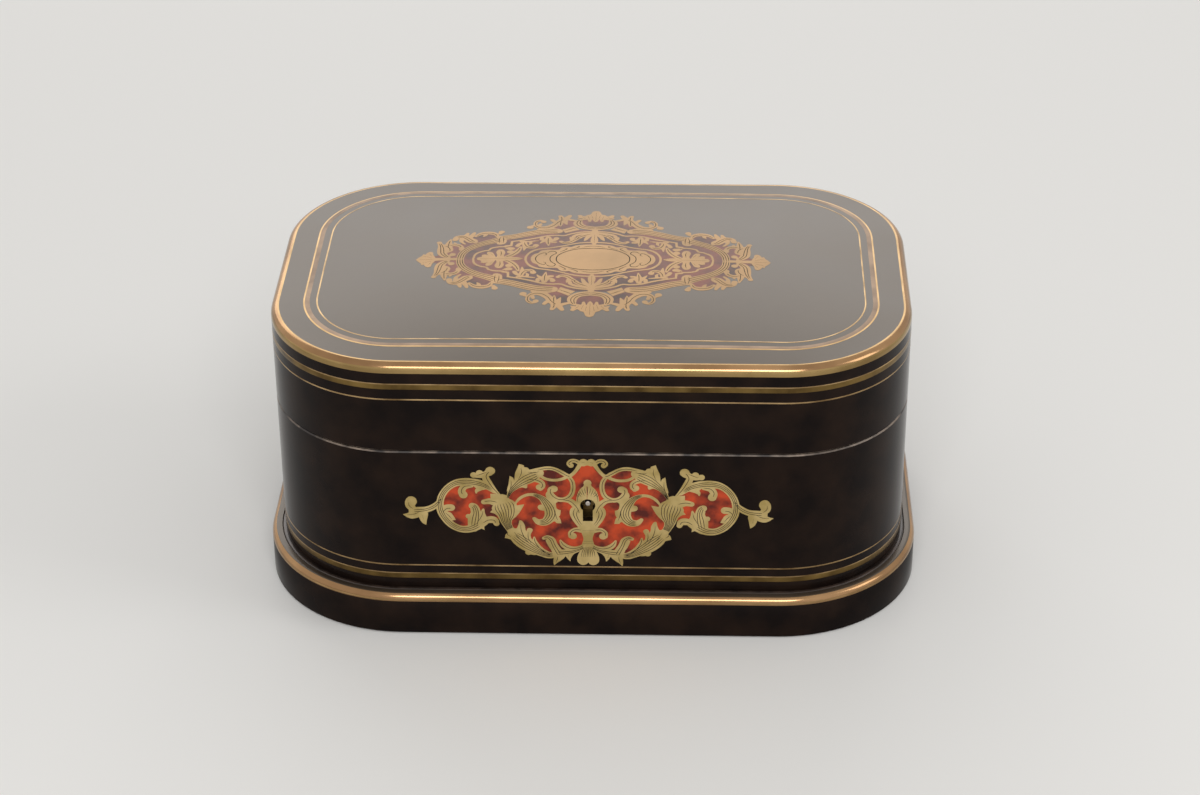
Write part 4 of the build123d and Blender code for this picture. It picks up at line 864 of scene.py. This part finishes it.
# Lid medallion: brass and shell sawn together and laid in the lid's top, which they follow. One quarter
# is drawn, in millimetres from the middle along and across the lid, and the others mirror it.
MEDALLION = [
    ("shell", [(0, 0), (0, 0), (0, 26.6), (0, 26.6), (6, 27.1), (14, 25.9), (20, 25.4), (30, 22.0), (38, 18.8),
     (44, 15.0), (50, 10.8), (53.6, 6.6), (55, 2.2), (55, 0), (55, 0)]),
    ("shell", [(19.4, 27.7), (14.5, 27.2), (8.6, 30.3), (9.4, 34.5), (8.5, 37.0), (12, 37.9), (16, 35.4),
     (17.6, 31.6)]),
    ("shell", [(0, 30.4), (0, 30.4), (3.6, 31.3), (5.4, 33.6), (5.4, 37.0), (2.6, 38.0), (0, 37.4), (0, 37.4)]),
    ("shell", [(56, 0), (56, 0), (55.6, 5.3), (53, 10.2), (47.6, 14.5), (42.6, 17.8), (40.4, 20.6), (42, 22.7),
     (45, 23.5), (48.6, 22.1), (50.8, 20.2), (53.6, 18.1), (55.6, 13.8), (58.6, 12.1), (61.4, 9.6), (62.8, 6.0),
     (64.4, 3.6), (66, 2.6), (66.4, 0), (66.4, 0)]),
    ("scroll", [(55.1, 0), (54.5, 4.6), (52.2, 8.9), (47.6, 13.0), (42.6, 15.8), (39.6, 17.5)],
     [3.2, 3.3, 3.5, 3.8, 4.2, 4.6], (-0.62, 0.0, 0.62), (0.0, 1.0)),
    ("scroll", [(38.6, 18.9), (33, 20.6), (27.4, 23.1), (22, 25.0), (15.6, 25.7)], [4.2, 4.2, 4.5, 4.6, 4.4],
     (-0.62, 0.0, 0.62), (0.0, 1.0)),
    ("plate", [(40.4, 13.0), (40.4, 13.0), (38.8, 12.7), (37, 14.0), (36.6, 16.9), (37.2, 21.0), (37.2, 21.0),
     (39, 21.1), (40.8, 20.4), (41.2, 16.3)]),
    ("plate", [(13.8, 27.4), (13.8, 27.4), (12.4, 23.8), (12.4, 23.8), (9.4, 25.6), (6.4, 27.1), (6.4, 27.1),
     (9, 30.7), (9, 30.7), (11, 29.2)]),
    ("cut", [(39.6, 14.1), (39.8, 17.3), (39.2, 20.3)], 0.3),
    ("cut", [(38, 14.3), (38, 17.4), (38.4, 20.3)], 0.3),
    ("cut", [(13, 25.9), (10, 27.7), (7.8, 29.2)], 0.3),
    ("scroll", [(49.6, 0), (48.8, 4.2), (46, 6.7), (43.6, 7.6), (42.6, 9.4), (40, 10.5), (37, 10.8)],
     [0.9, 1, 1, 1, 1, 1, 1]),
    ("plate", [(37.4, 10.3), (37.4, 10.3), (34, 11.4), (34, 11.4), (33.8, 15.7), (33.8, 15.7), (34.8, 16.0),
     (34.8, 16.0), (35, 12.4), (35, 12.4), (37.2, 11.9), (37.2, 11.9)]),
    ("scroll", [(34.4, 15.5), (30, 16.8), (25, 18.6), (20, 20.9), (16, 21.5), (12.6, 21.4), (9.6, 23.3),
     (5, 25.0), (0, 25.5)], [1, 1, 1.1, 1.1, 1, 1, 1.1, 1.1, 1.1]),
    ("plate", [(0, 0), (0, 0), (0, 13.2), (0, 13.2), (4, 12.9), (7.6, 12.1), (9.4, 10.7), (11.4, 10.9), (13.4, 10.0),
     (14.4, 8.2), (16.6, 7.9), (19.2, 8.0), (21.8, 7.0), (22.8, 5.2), (24.6, 3.8), (25.6, 1.6), (25.8, 0), (25.8, 0)]),
    ("cut", [(-1.5, 9.5), (1.5, 9.5), (5.4, 9.1), (9.6, 7.6), (13, 5.0), (14.8, 2.4), (15.2, 0), (15.2, -1)], 0.42),
    ("cut", [(17.8, -1.2), (17.8, 0), (17.5, 2.0), (16.4, 3.7), (15.4, 4.8), (16, 6.4), (18, 6.4), (19.2, 4.8)], 0.36),
    ("cut", [(23.8, -1.2), (23.8, 0), (23.4, 2.0), (22, 4.2), (20.2, 5.2), (19.4, 3.8), (20.4, 2.8)], 0.32),
    ("cut", [(14, 6.0), (12.4, 7.4), (11, 9.0), (12.4, 9.9)], 0.32),
    ("cut", [(10, 8.6), (7.6, 9.6), (6, 10.9), (7, 11.6)], 0.32),
    ("cut", [(-1, 11.6), (2, 11.4), (4.8, 10.4)], 0.32),
    ("scroll", [(27.9, 0), (27.8, 1.6), (26.9, 4.4), (25, 7.0), (22.4, 8.6), (18, 9.7), (13, 11.5), (9, 13.4),
     (5, 14.6),
     (0, 15.0)], [1, 1, 1, 1.2, 1, 0.9, 0.9, 0.9, 1, 1]),
    ("plate", [(0, 12.3), (0, 12.3), (1.2, 14.6), (1.6, 17.4), (1.0, 21.2), (1.8, 24.1), (1.2, 26.6), (0, 26.9)]),
    ("scroll", [(0.8, 22.6), (2.7, 20.3), (3.6, 17.8), (4.3, 16.5)], [2.0, 2.0, 1.5, 0.3]),
    ("scroll", [(1, 23.3), (4.2, 21.6), (6.6, 19.7), (7.4, 17.8)], [1.8, 2.0, 1.8, 0.4], (0.0,), (0.1, 0.9)),
    ("scroll", [(1, 24.1), (4, 23.5), (7, 22.4), (8.8, 20.8), (8.6, 19.9)], [1.4, 1.6, 1.7, 1.6, 1.6]),
    ("cut", [(0, 14.6), (0, 22.2)], 0.3),
    ("scroll", [(5.4, 19.5), (8, 17.6), (10, 15.3), (12.4, 14.5), (13.9, 15.6)], [0.6, 2.0, 2.2, 1.8, 1.7],
     (0.0,), (0.1, 0.9)),
    ("plate", [(8.6, 16.4), (10, 17.0), (10.5, 18.7), (10.3, 20.4), (10.3, 20.4), (9, 19.5), (8, 17.8)]),
    ("scroll", [(19.3, 19.3), (19.3, 15.7), (18.9, 11.5)], [2.4, 2.4, 0.4], (0.0,), (0.1, 0.8)),
    ("scroll", [(19, 18.9), (17.8, 17.0), (16.4, 17.3), (15.9, 18.6)], [1.8, 1.8, 1.8, 2.4]),
    ("scroll", [(19.4, 18.7), (20.8, 17.1), (22.0, 17.3), (22.0, 18.8)], [1.8, 1.7, 1.6, 1.8]),
    ("scroll", [(19.5, 16.7), (21.4, 15.6), (22.6, 13.7)], [1.6, 1.5, 0.3]),
    ("scroll", [(19, 16.2), (17.4, 15.1), (16.2, 15.0)], [1.6, 1.5, 1.4]),
    ("scroll", [(30.6, 15.5), (28, 15.4), (25.4, 15.9), (23.2, 16.3)], [1.2, 1.2, 1.0, 0.5]),
    ("scroll", [(29.2, 15.3), (28.7, 12.5), (27.4, 10.4), (25.2, 10.1), (24, 11.5)], [2.0, 2.2, 2.1, 1.9, 1.8],
     (0.0,), (0.1, 0.9)),
    ("bulb", (24.2, 11.9), 1.3),
    ("scroll", [(29, 14.0), (28.7, 11.1), (29.0, 7.1)], [2.0, 2.2, 0.4]),
    ("scroll", [(29.6, 14.4), (31.2, 12.9), (31.9, 11.4)], [1.6, 1.8, 1.9]),
    ("scroll", [(26.6, 15.2), (26.4, 13.7), (27, 12.5)], [1.4, 1.3, 0.6]),
    ("plate", [(28.8, 0), (28.8, 0), (31.4, 1.2), (35, 1.5), (39, 1.4), (43, 1.5), (43, 0), (43, 0)]),
    ("plate", [(42, 0), (42, 0), (42.8, 2.2), (44.6, 3.8), (46.2, 3.3), (46.2, 1.8), (47.6, 1.2), (48.2, 0),
     (48.2, 0)]),
    ("plate", [(40.4, 0.8), (41, 3.4), (42, 5.6), (43.8, 6.2), (44.2, 4.6), (43.2, 2.6), (42.6, 1.0)]),
    ("plate", [(37.2, 0.8), (37, 3.2), (36.6, 5.6), (37.6, 8.0), (39.4, 8.1), (40.4, 6.0), (39.8, 3.2), (39.9, 0.8)]),
    ("scroll", [(36.8, 1.0), (34.4, 2.7), (32.5, 5.0), (31.2, 7.6), (30.4, 10.4)], [1.4, 2.4, 2.6, 2.2, 1.2],
     (0.0,), (0.05, 0.9)),
    ("bulb", (34.5, 6.0), 1.5),
    ("scroll", [(34.4, 5.6), (33.2, 5.4), (32.2, 6.4)], [1.2, 1.3, 1.4]),
    ("cut", [(29.6, 0), (46.8, 0)], 0.3),
    ("cut", [(38.4, 2.4), (38.2, 4.8), (38.6, 7.0)], 0.3),
    ("cut", [(41.4, 2.6), (42.6, 4.6)], 0.28),
    ("scroll", [(35.4, 9.8), (33.4, 9.2), (34.6, 8.3), (36.6, 9.6)], [1.2, 1.4, 1.4, 0.8]),
    ("scroll", [(0, 28.5), (4.8, 29.8), (7.2, 32.6), (7.2, 35.5), (6.2, 37.4)], [3.6, 3.6, 4.2, 3.4, 1.6],
     (-0.25, 0.4), (0.0, 0.95)),
    ("plate", [(0, 34.7), (0, 34.7), (0.9, 35.9), (1.5, 37.8), (2.2, 35.3), (3.2, 35.5), (3.6, 37.4),
     (5.6, 37.0), (5.8, 38.7), (7.9, 38.3), (7.4, 40.0), (7.9, 41.7), (6.6, 42.3), (5, 41.0), (3.8, 42.3),
     (2.4, 43.1), (1.5, 45.9), (0, 46.7), (0, 46.7)]),
    ("cut", [(0, 36.5), (0, 45.0)], 0.3),
    ("cut", [(1.3, 38.9), (1.9, 42.1)], 0.3),
    ("cut", [(2.6, 37.4), (3.4, 40.8)], 0.3),
    ("cut", [(4.4, 38.3), (5.8, 40.6)], 0.3),
    ("scroll", [(21.8, 35.5), (23.8, 36.1), (25.4, 34.1), (25, 30.8), (22.6, 29.0), (19.6, 29.4), (17.2, 31.9),
     (15.8, 34.8), (13.8, 37.3), (12.4, 39.2)], [1.4, 1.7, 1.7, 1.8, 2.6, 3.6, 3.4, 3.2, 3.0, 2.0], (0.0,),
     (0.1, 0.9)),
    ("bulb", (22, 34.9), 1.2),
    ("bulb", (27.4, 29.4), 1.5),
    ("scroll", [(27.2, 30.2), (25.6, 31.2), (23.6, 30.1)], [1.4, 1.4, 1.8]),
    ("scroll", [(23.8, 30.5), (23.2, 32.6)], [1.8, 1.6]),
    ("scroll", [(24, 27.4), (20, 28.1), (15.4, 27.4)], [1.2, 2.0, 1.0]),
    ("scroll", [(14.6, 36.4), (14.8, 33.3), (14.7, 30.3)], [2.4, 2.2, 0.4], (0.0,), (0.1, 0.8)),
    ("scroll", [(13, 37.3), (12.8, 34.5), (12.0, 32.0)], [2.2, 2.0, 0.4]),
    ("scroll", [(12, 37.9), (10.4, 37.0), (8.4, 36.2)], [2.0, 1.8, 1.4]),
    ("scroll", [(16, 34.4), (17.6, 35.6), (18.5, 37.0)], [2.6, 2.0, 1.7]),
    ("scroll", [(14.6, 36.4), (14.5, 38.8), (15.2, 40.9)], [3.0, 2.6, 1.9], (0.0,), (0.1, 0.8)),
    ("scroll", [(13, 37.7), (12, 39.6), (11.2, 41.3)], [2.6, 2.4, 1.9]),
    ("scroll", [(64.8, 15.0), (63.7, 11.8), (63.2, 8.4), (62.8, 5.2), (61.4, 2.8), (59.8, 1.4)],
     [1.7, 2.8, 4.0, 4.0, 3.0, 1.6], (-0.35, 0.25), (0.08, 0.94)),
    ("bulb", (64.8, 15.1), 1.1),
    ("scroll", [(62.6, 12.2), (60.6, 10.6), (59.8, 8.0), (60.8, 6.6)], [2.4, 3.0, 2.6, 1.8], (0.0,), (0.1, 0.8)),
    ("bulb", (58.4, 4.0), 1.4),
    ("scroll", [(58.6, 3.9), (60, 2.6), (61.4, 2.4)], [1.6, 1.4, 1.4]),
    ("scroll", [(60.8, 9.8), (60.7, 14.0), (60.1, 18.2)], [3.4, 2.8, 0.5], (0.0,), (0.1, 0.8)),
    ("scroll", [(61, 11.8), (58.4, 12.9), (56, 11.9), (54.9, 9.6)], [2.8, 2.4, 2.2, 2.0], (0.0,), (0.1, 0.85)),
    ("bulb", (54.9, 8.7), 1.4),
    ("scroll", [(58.8, 12.5), (58, 14.0), (58.6, 15.1)], [1.4, 1.2, 0.5]),
    ("scroll", [(58.3, 17.7), (57.6, 20.0), (55, 20.2), (53, 18.3), (51.4, 16.2), (49.8, 15.2)],
     [2.6, 2.4, 3.2, 4.0, 3.8, 2.0], (-0.3, 0.3), (0.2, 0.95)),
    ("scroll", [(54.6, 20.0), (53.8, 22.0), (53.4, 23.6)], [2.4, 2.0, 1.3]),
    ("scroll", [(52.6, 19.1), (51.4, 21.6), (50.6, 24.0)], [2.6, 2.2, 1.3]),
    ("scroll", [(54, 13.5), (55.6, 15.9), (55.4, 18.3)], [1.0, 1.6, 2.6]),
    ("scroll", [(49.8, 20.7), (47.8, 23.0), (44.6, 23.8), (41.9, 22.9), (40.8, 20.6)], [1.4, 2.4, 2.8, 2.4, 1.6],
     (0.1,), (0.05, 0.95)),
    ("scroll", [(45.8, 23.3), (46, 21.5), (46.8, 20.1)], [2.0, 1.6, 0.4]),
    ("scroll", [(39.8, 23.1), (39.2, 24.8)], [1.6, 2.6]),
    ("scroll", [(50.8, 17.7), (49.6, 16.6), (49.4, 15.4)], [1.8, 1.6, 1.4]),
    ("plate", [(73.4, 0), (73.4, 0), (72.4, 1.7), (71.2, 3.2), (70.6, 4.8), (69.8, 4.4), (69.2, 5.8), (68, 6.8),
     (66.8, 6.2), (66.4, 4.0), (65.6, 2.0), (65, 0), (65, 0)]),
    ("scroll", [(65.6, 0), (62.4, 0), (60.2, 0), (57, 0)], [2.6, 2.2, 1.8, 2.2]),
    ("cut", [(66.6, 0), (72, 0)], 0.3),
    ("cut", [(66.8, 1.4), (70.4, 3.0)], 0.3),
    ("cut", [(66.9, 2.8), (68.2, 5.2)], 0.3),
]
lid_shell = finish_of("lid_shell", "dark_shell", (0.045, 0.022, 0.016), (0.20, 0.05, 0.03), 12.0, 0.34,
                      reach=(0.36, 0.62), tint=(1.0, 0.78, 0.66), index=1.4)
lid_fret = finish_of("lid_fret_brass", "engraved_brass", (0.25, 0.158, 0.078), (0.335, 0.21, 0.105), 22.0, 0.42,
                     metal=1.0, bump=0.01, rough_swing=0.04)
quarter = []
for kind, shape, *rest in MEDALLION:
    if kind == "bulb":
        quarter.append((BRASS, disc(*shape, rest[0], 16)))
    elif kind == "scroll":
        widths, lines, trim = (*rest, (), (0, 1))[:3]
        quarter.append((BRASS, ribbon(shape, widths, 5)))
        quarter += [(WAX, beside(shape, widths, share, 0.28, trim)) for share in lines]
    elif kind == "cut":
        quarter.append((WAX, ribbon(shape, tapered(len(shape), rest[0]), 4)))
    else:
        quarter.append((SHELL if kind == "shell" else BRASS, leaf(shape)))
sheet = []
for side_x, side_y in ((1, 1), (1, -1), (-1, 1), (-1, -1)):
    sheet += [(kind, [(side_x * x, side_y * y) for x, y in outline]) for kind, outline in quarter]
sheet.sort(key=lambda laid: laid[0])


def on_lid(x, y, lift):
    """The point on the lid's dome for a place on the sheet."""
    return x, y, dome(x, y) + lift


ground, fret, engraving = lay_marquetry("medallion", sheet, on_lid, 0.4, [lid_shell, lid_fret, wax], spacing=4.0,
                                        y_up=True)
settle(ground, "lid", "medallion_ground")
settle(fret, "lid", "medallion_brass")
settle(engraving, "lid")

# Lock: a bent brass plate let into the wall's top and back, a shallow case with a sliding bolt and a
# round pin for the key's barrel. The striker and its two eyes are let into the lid's rim.
def dress(material, *nodes):
    """A finer finish for CAD pieces that keep their own shape."""
    for node in nodes:
        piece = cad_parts[node]
        piece.data.materials.clear()
        piece.data.materials.append(material)
        piece.data.polygons.foreach_set("material_index", [0] * len(piece.data.polygons))


lock_brass = finish_of("lock_brass", "lock_brass", (0.36, 0.25, 0.10), (0.66, 0.50, 0.24), 8.0, 0.32, metal=1.0,
                       rough_swing=0.08)
steel = finish_of("worn_steel", "steel", (0.24, 0.21, 0.19), (0.52, 0.47, 0.43), 3.0, 0.35, metal=1.0,
                  rough_swing=0.1)
screw_brass = finish_of("screw_brass", "screw_brass", (0.42, 0.30, 0.12), (0.70, 0.52, 0.25), 2.0, 0.3, metal=1.0)
tarnished = finish_of("tarnished_brass", "lock_brass", (0.04, 0.028, 0.014), (0.11, 0.08, 0.045), 6.0, 0.5, metal=1.0)
dress(lock_brass, "lock_plate", "striker")
dress(tarnished, "lock_case")
dress(steel, "lock_bolt", "lock_pin", "lock_spring")
dress(screw_brass, "lock_screws", "striker_screws", "hinge_screws_case", "hinge_screws_lid")

# Hinges: two stop hinges of cast brass, each of two leaves let into the rims and a drawn brass pin.
# Their lugs meet when the lid stands a little past upright.
dress(lock_brass, "hinge_lower_leaf_left", "hinge_lower_leaf_right", "hinge_upper_leaf_left",
      "hinge_upper_leaf_right")
dress(screw_brass, "hinge_pin_left", "hinge_pin_right")

# Linings: silk stretched over card and glued in, on the case's wall, on the ledge that carries the
# tray and on the lid's wall. The silk is folded over the card's edge.
silk = finish_of("silk", "silk", (0.22, 0.016, 0.022), (0.31, 0.027, 0.033), 12.0, 0.38, sheen=0.3, bump=0.12,
                 squeeze=(1, 1, 0.12))
card = finish_of("lining_card", "silk", (0.30, 0.10, 0.08), (0.36, 0.13, 0.10), 9.0, 0.8)
dress(card, "case_wall_lining", "tray_ledge", "lid_wall_lining")


def silk_facing(name, profile, body, cuts=()):
    """A strip of silk on a lining's card."""
    facing = hoop(name, profile, [silk])
    if cuts:
        cut_away(facing, cuts)
    settle(facing, body)


silk_facing("case_silk", [(12.05, 52.3), (12.05, 80.1), (10.1, 80.1), (10.1, 80.4), (12.1, 80.4), (12.35, 80.15),
                          (12.35, 52.3)], "case",
            cuts=[block_tool((-26, -73, 48.15), (26, -66, 90))])
silk_facing("ledge_silk", [(17.02, 14.6), (17.02, 52.02), (12.4, 52.02), (12.4, 52.24), (17.1, 52.24), (17.3, 52.05),
                           (17.3, 14.6)], "case")
silk_facing("lid_silk", [(10.1, 84.02), (10.1, 84.22), (11.62, 84.24), (11.62, 112), (11.87, 112), (11.87, 84.1),
                         (11.8, 84.02)], "lid")

# Pads: stuffed silk on the floor and, buttoned, under the lid; velvet pads and ring rolls in the tray.
# Each starts from its plain solid and is blown up a little as cloth.
def stuffed(name, node, body, material, voxel, rise, sink, held, share=None, pressure=4.0, stiffness=15.0,
            gain=1.0):
    """A CAD pad remeshed and blown up as cloth, which may only rise or sink a little where it is free.

    voxel, rise and sink are in millimetres, and held tells which places are fixed. share gives the part
    of the rise or sink which a place is allowed, and gain deepens the swelling.
    """
    merged = bmesh.new()
    merged.from_mesh(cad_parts[node].data)
    bmesh.ops.remove_doubles(merged, verts=merged.verts, dist=1e-6)
    data = bpy.data.meshes.new(name)
    merged.to_mesh(data)
    merged.free()
    piece = bpy.data.objects.new(name, data)
    bpy.context.scene.collection.objects.link(piece)
    remesh = piece.modifiers.new("remesh", "REMESH")
    remesh.mode = "VOXEL"
    remesh.voxel_size = voxel * MM
    make_plain(piece)
    start = [vertex.co.copy() for vertex in piece.data.vertices]
    group = piece.vertex_groups.new(name="held")
    group.add([index for index, place in enumerate(start) if held(place)], 1.0, "REPLACE")
    cloth = piece.modifiers.new("cloth", "CLOTH")
    cloth.settings.use_pressure = True
    cloth.settings.uniform_pressure_force = pressure
    cloth.settings.tension_stiffness = stiffness
    cloth.settings.compression_stiffness = stiffness
    cloth.settings.effector_weights.gravity = 0.0
    cloth.settings.vertex_group_mass = group.name
    cloth.point_cache.frame_end = 20
    for step in range(1, 21):
        bpy.context.scene.frame_set(step)
    make_plain(piece)
    bpy.context.scene.frame_set(1)
    for vertex, place in zip(piece.data.vertices, start):
        moved = (vertex.co.z - place.z) * gain
        allowed = share(place.x / MM, place.y / MM) if share else 1.0
        vertex.co = (place.x, place.y, place.z + max(-sink * MM, min(rise * MM, moved)) * allowed)
    round_off = piece.modifiers.new("round", "SUBSURF")
    round_off.levels = 1
    round_off.render_levels = 1
    make_plain(piece)
    piece.data.materials.clear()
    piece.data.materials.append(material)
    piece.data.shade_smooth()
    settle(piece, body, node)


pad_silk = finish_of("pad_silk", "silk", (0.25, 0.019, 0.025), (0.33, 0.031, 0.037), 7.0, 0.33, sheen=0.3, bump=0.12)
velvet = finish_of("velvet", "velvet", (0.13, 0.008, 0.012), (0.24, 0.018, 0.024), 4.0, 0.85, sheen=0.9, bump=0.1)
TUFTS_APART, ROWS_APART = 36.0, 30.0
TUFTS = [(TUFTS_APART * (index - (count - 1) / 2), ROWS_APART * row) for row, count in ((-1, 4), (0, 5), (1, 4))
         for index in range(count)]
PLEATS = [(low, high) for low in TUFTS for high in TUFTS
          if high[1] - low[1] == ROWS_APART and abs(high[0] - low[0]) == TUFTS_APART / 2]


def to_tuft(x, y):
    """How far a place on the lid's pad is from the nearest button."""
    return min(math.hypot(x - across, y - along) for across, along in TUFTS)


def tufted(x, y):
    """The share of the stuffing's depth at a place on the lid's pad: none at a button, less along a pleat."""
    crease = math.inf
    for (x1, y1), (x2, y2) in PLEATS:
        span = (x2 - x1) ** 2 + (y2 - y1) ** 2
        step = max(0.0, min(1.0, ((x - x1) * (x2 - x1) + (y - y1) * (y2 - y1)) / span))
        crease = min(crease, math.hypot(x - x1 - step * (x2 - x1), y - y1 - step * (y2 - y1)))
    return (1 - math.exp(-(to_tuft(x, y) / 10) ** 2)) * (1 - 0.7 * math.exp(-(crease / 3.4) ** 2))


stuffed("floor_cushion", "base_pad", "case", pad_silk, voxel=4.0, rise=3.0, sink=0.0,
        held=lambda place: place.z < 0.0105)
stuffed("lid_cushion", "lid_pad", "lid", pad_silk, voxel=3.0, rise=0.0, sink=3.2,
        held=lambda place: place.z > 0.1145 or to_tuft(place.x / MM, place.y / MM) < 3.4,
        share=tufted, pressure=14.0, stiffness=3.0, gain=2.3)
stuffed("tray_velvet", "tray_pads", "tray", velvet, voxel=2.4, rise=0.7, sink=0.0,
        held=lambda place: place.z < 0.0556)
stuffed("ring_rolls", "ring_cushion", "tray", velvet, voxel=2.6, rise=0.6, sink=0.0,
        held=lambda place: place.z < 0.0562)


def button_nodes():
    """Nodes that set a flattened round button at every point."""
    tree = bpy.data.node_groups.new("buttons", "GeometryNodeTree")
    given, known = asked(tree, ("Places", "Geometry"), ("Radius", "Float"), ("Flatness", "Float"))
    ball = joined(tree, "GeometryNodeMeshUVSphere", {"Segments": 20, "Rings": 10, "Radius": given["Radius"]})
    low = joined(tree, "ShaderNodeCombineXYZ", {"X": 1.0, "Y": 1.0, "Z": given["Flatness"]})
    each = joined(tree, "GeometryNodeInstanceOnPoints", {"Points": given["Places"], "Instance": ball.outputs[0],
                                                         "Scale": low.outputs[0]})
    solid = joined(tree, "GeometryNodeRealizeInstances", {"Geometry": each.outputs[0]})
    dressed = joined(tree, "GeometryNodeSetMaterial", {"Geometry": solid.outputs[0], "Material": pad_silk})
    joined(tree, "NodeGroupOutput", {"Geometry": dressed.outputs[0]})
    return tree, known


tree, known = button_nodes()
button_height = 110.5
buttons = from_nodes("lid_pad_buttons", [(x, y, button_height) for x, y in TUFTS], tree,
                     [(known["Radius"], 2.6 * MM), (known["Flatness"], 0.5)])
settle(buttons, "lid")

# Tray: a bent rosewood frame with a thin bottom and halved dividers, which stands on the ledge and
# lifts out by two ribbon loops glued inside its ends.
rosewood = finish_of("rosewood", "tray_wood", (0.060, 0.020, 0.010), (0.24, 0.095, 0.045), 5.0, 0.34,
                     squeeze=(0.25, 0.25, 2.5), reach=(0.3, 0.75))
tray = hoop("tray_wall", [(14.2, 52.3), (14.2, 74.7), (14.5, 75.15), (15.0, 75.3), (16.4, 75.3), (16.9, 75.15),
                          (17.2, 74.7), (17.2, 52.3)], [rosewood])
settle(tray, "tray", "tray_frame")
dress(rosewood, "tray_bottom", "tray_dividers")
ribbon_silk = finish_of("ribbon", "ribbon", (0.42, 0.05, 0.055), (0.55, 0.09, 0.085), 2.0, 0.4, sheen=0.4,
                        squeeze=(1, 6, 1))


def lift_ribbon(name, side, *nodes):
    """A ribbon loop: up the inside of the tray's end, over and down again."""
    width, half_thick, columns = 10.0, 0.18, 6
    turns = [math.pi * step / 8 for step in range(9)]
    path = smooth_line([(112.5, 64.3), (112.5, 72), (112.7, 79)]
                       + [(110.6 + 2.1 * math.cos(turn), 81.6 + 2.3 * math.sin(turn)) for turn in turns]
                       + [(108.6, 79), (111.5, 72), (111.9, 64.3)], 3)
    points, faces = [], []
    for index, (x, z) in enumerate(path):
        x1, z1 = path[max(0, index - 1)]
        x2, z2 = path[min(len(path) - 1, index + 1)]
        size = math.hypot(x2 - x1, z2 - z1)
        out_x, out_z = (z2 - z1) / size * half_thick, -(x2 - x1) / size * half_thick
        for face in (1, -1):
            for step in range(columns + 1):
                points.append((side * (x + out_x * face), width * (step / columns - 0.5) * face, z + out_z * face))
    ring = 2 * (columns + 1)
    for start in range(0, (len(path) - 1) * ring, ring):
        for step in range(ring):
            after = (step + 1) % ring
            faces.append((start + step, start + after, start + ring + after, start + ring + step))
    faces.append(tuple(range(ring))[::-1])
    faces.append(tuple(range((len(path) - 1) * ring, len(path) * ring)))
    loop = mesh_piece(name, points, faces, [ribbon_silk])
    outward = bmesh.new()
    outward.from_mesh(loop.data)
    bmesh.ops.recalc_face_normals(outward, faces=outward.faces)
    outward.to_mesh(loop.data)
    outward.free()
    settle(loop, "tray", *nodes)


lift_ribbon("tray_ribbon_right", 1, "tray_lift_tabs")
lift_ribbon("tray_ribbon_left", -1)

# Underside: a plain softwood bottom board let into the wall, covered with green baize.
bare_wood = finish_of("bottom_wood", "bare_wood", (0.22, 0.13, 0.06), (0.36, 0.23, 0.12), 4.0, 0.6,
                      squeeze=(0.15, 1.5, 1))
dress(bare_wood, "bottom_board")
baize = finish_of("baize", "baize", (0.012, 0.045, 0.022), (0.03, 0.085, 0.045), 1.2, 0.95, sheen=0.6, bump=0.1)
thickness = 1.15
outline = plan_line(10.05)
count = len(outline)
points = [(x, y, height) for height in (0.0, thickness) for x, y in outline]
faces = [tuple(range(count))[::-1], tuple(range(count, 2 * count))]
faces += [(step, (step + 1) % count, count + (step + 1) % count, count + step) for step in range(count)]
under = mesh_piece("baize_cloth", points, faces, [baize], smooth=30)
settle(under, "case", "underside_baize")
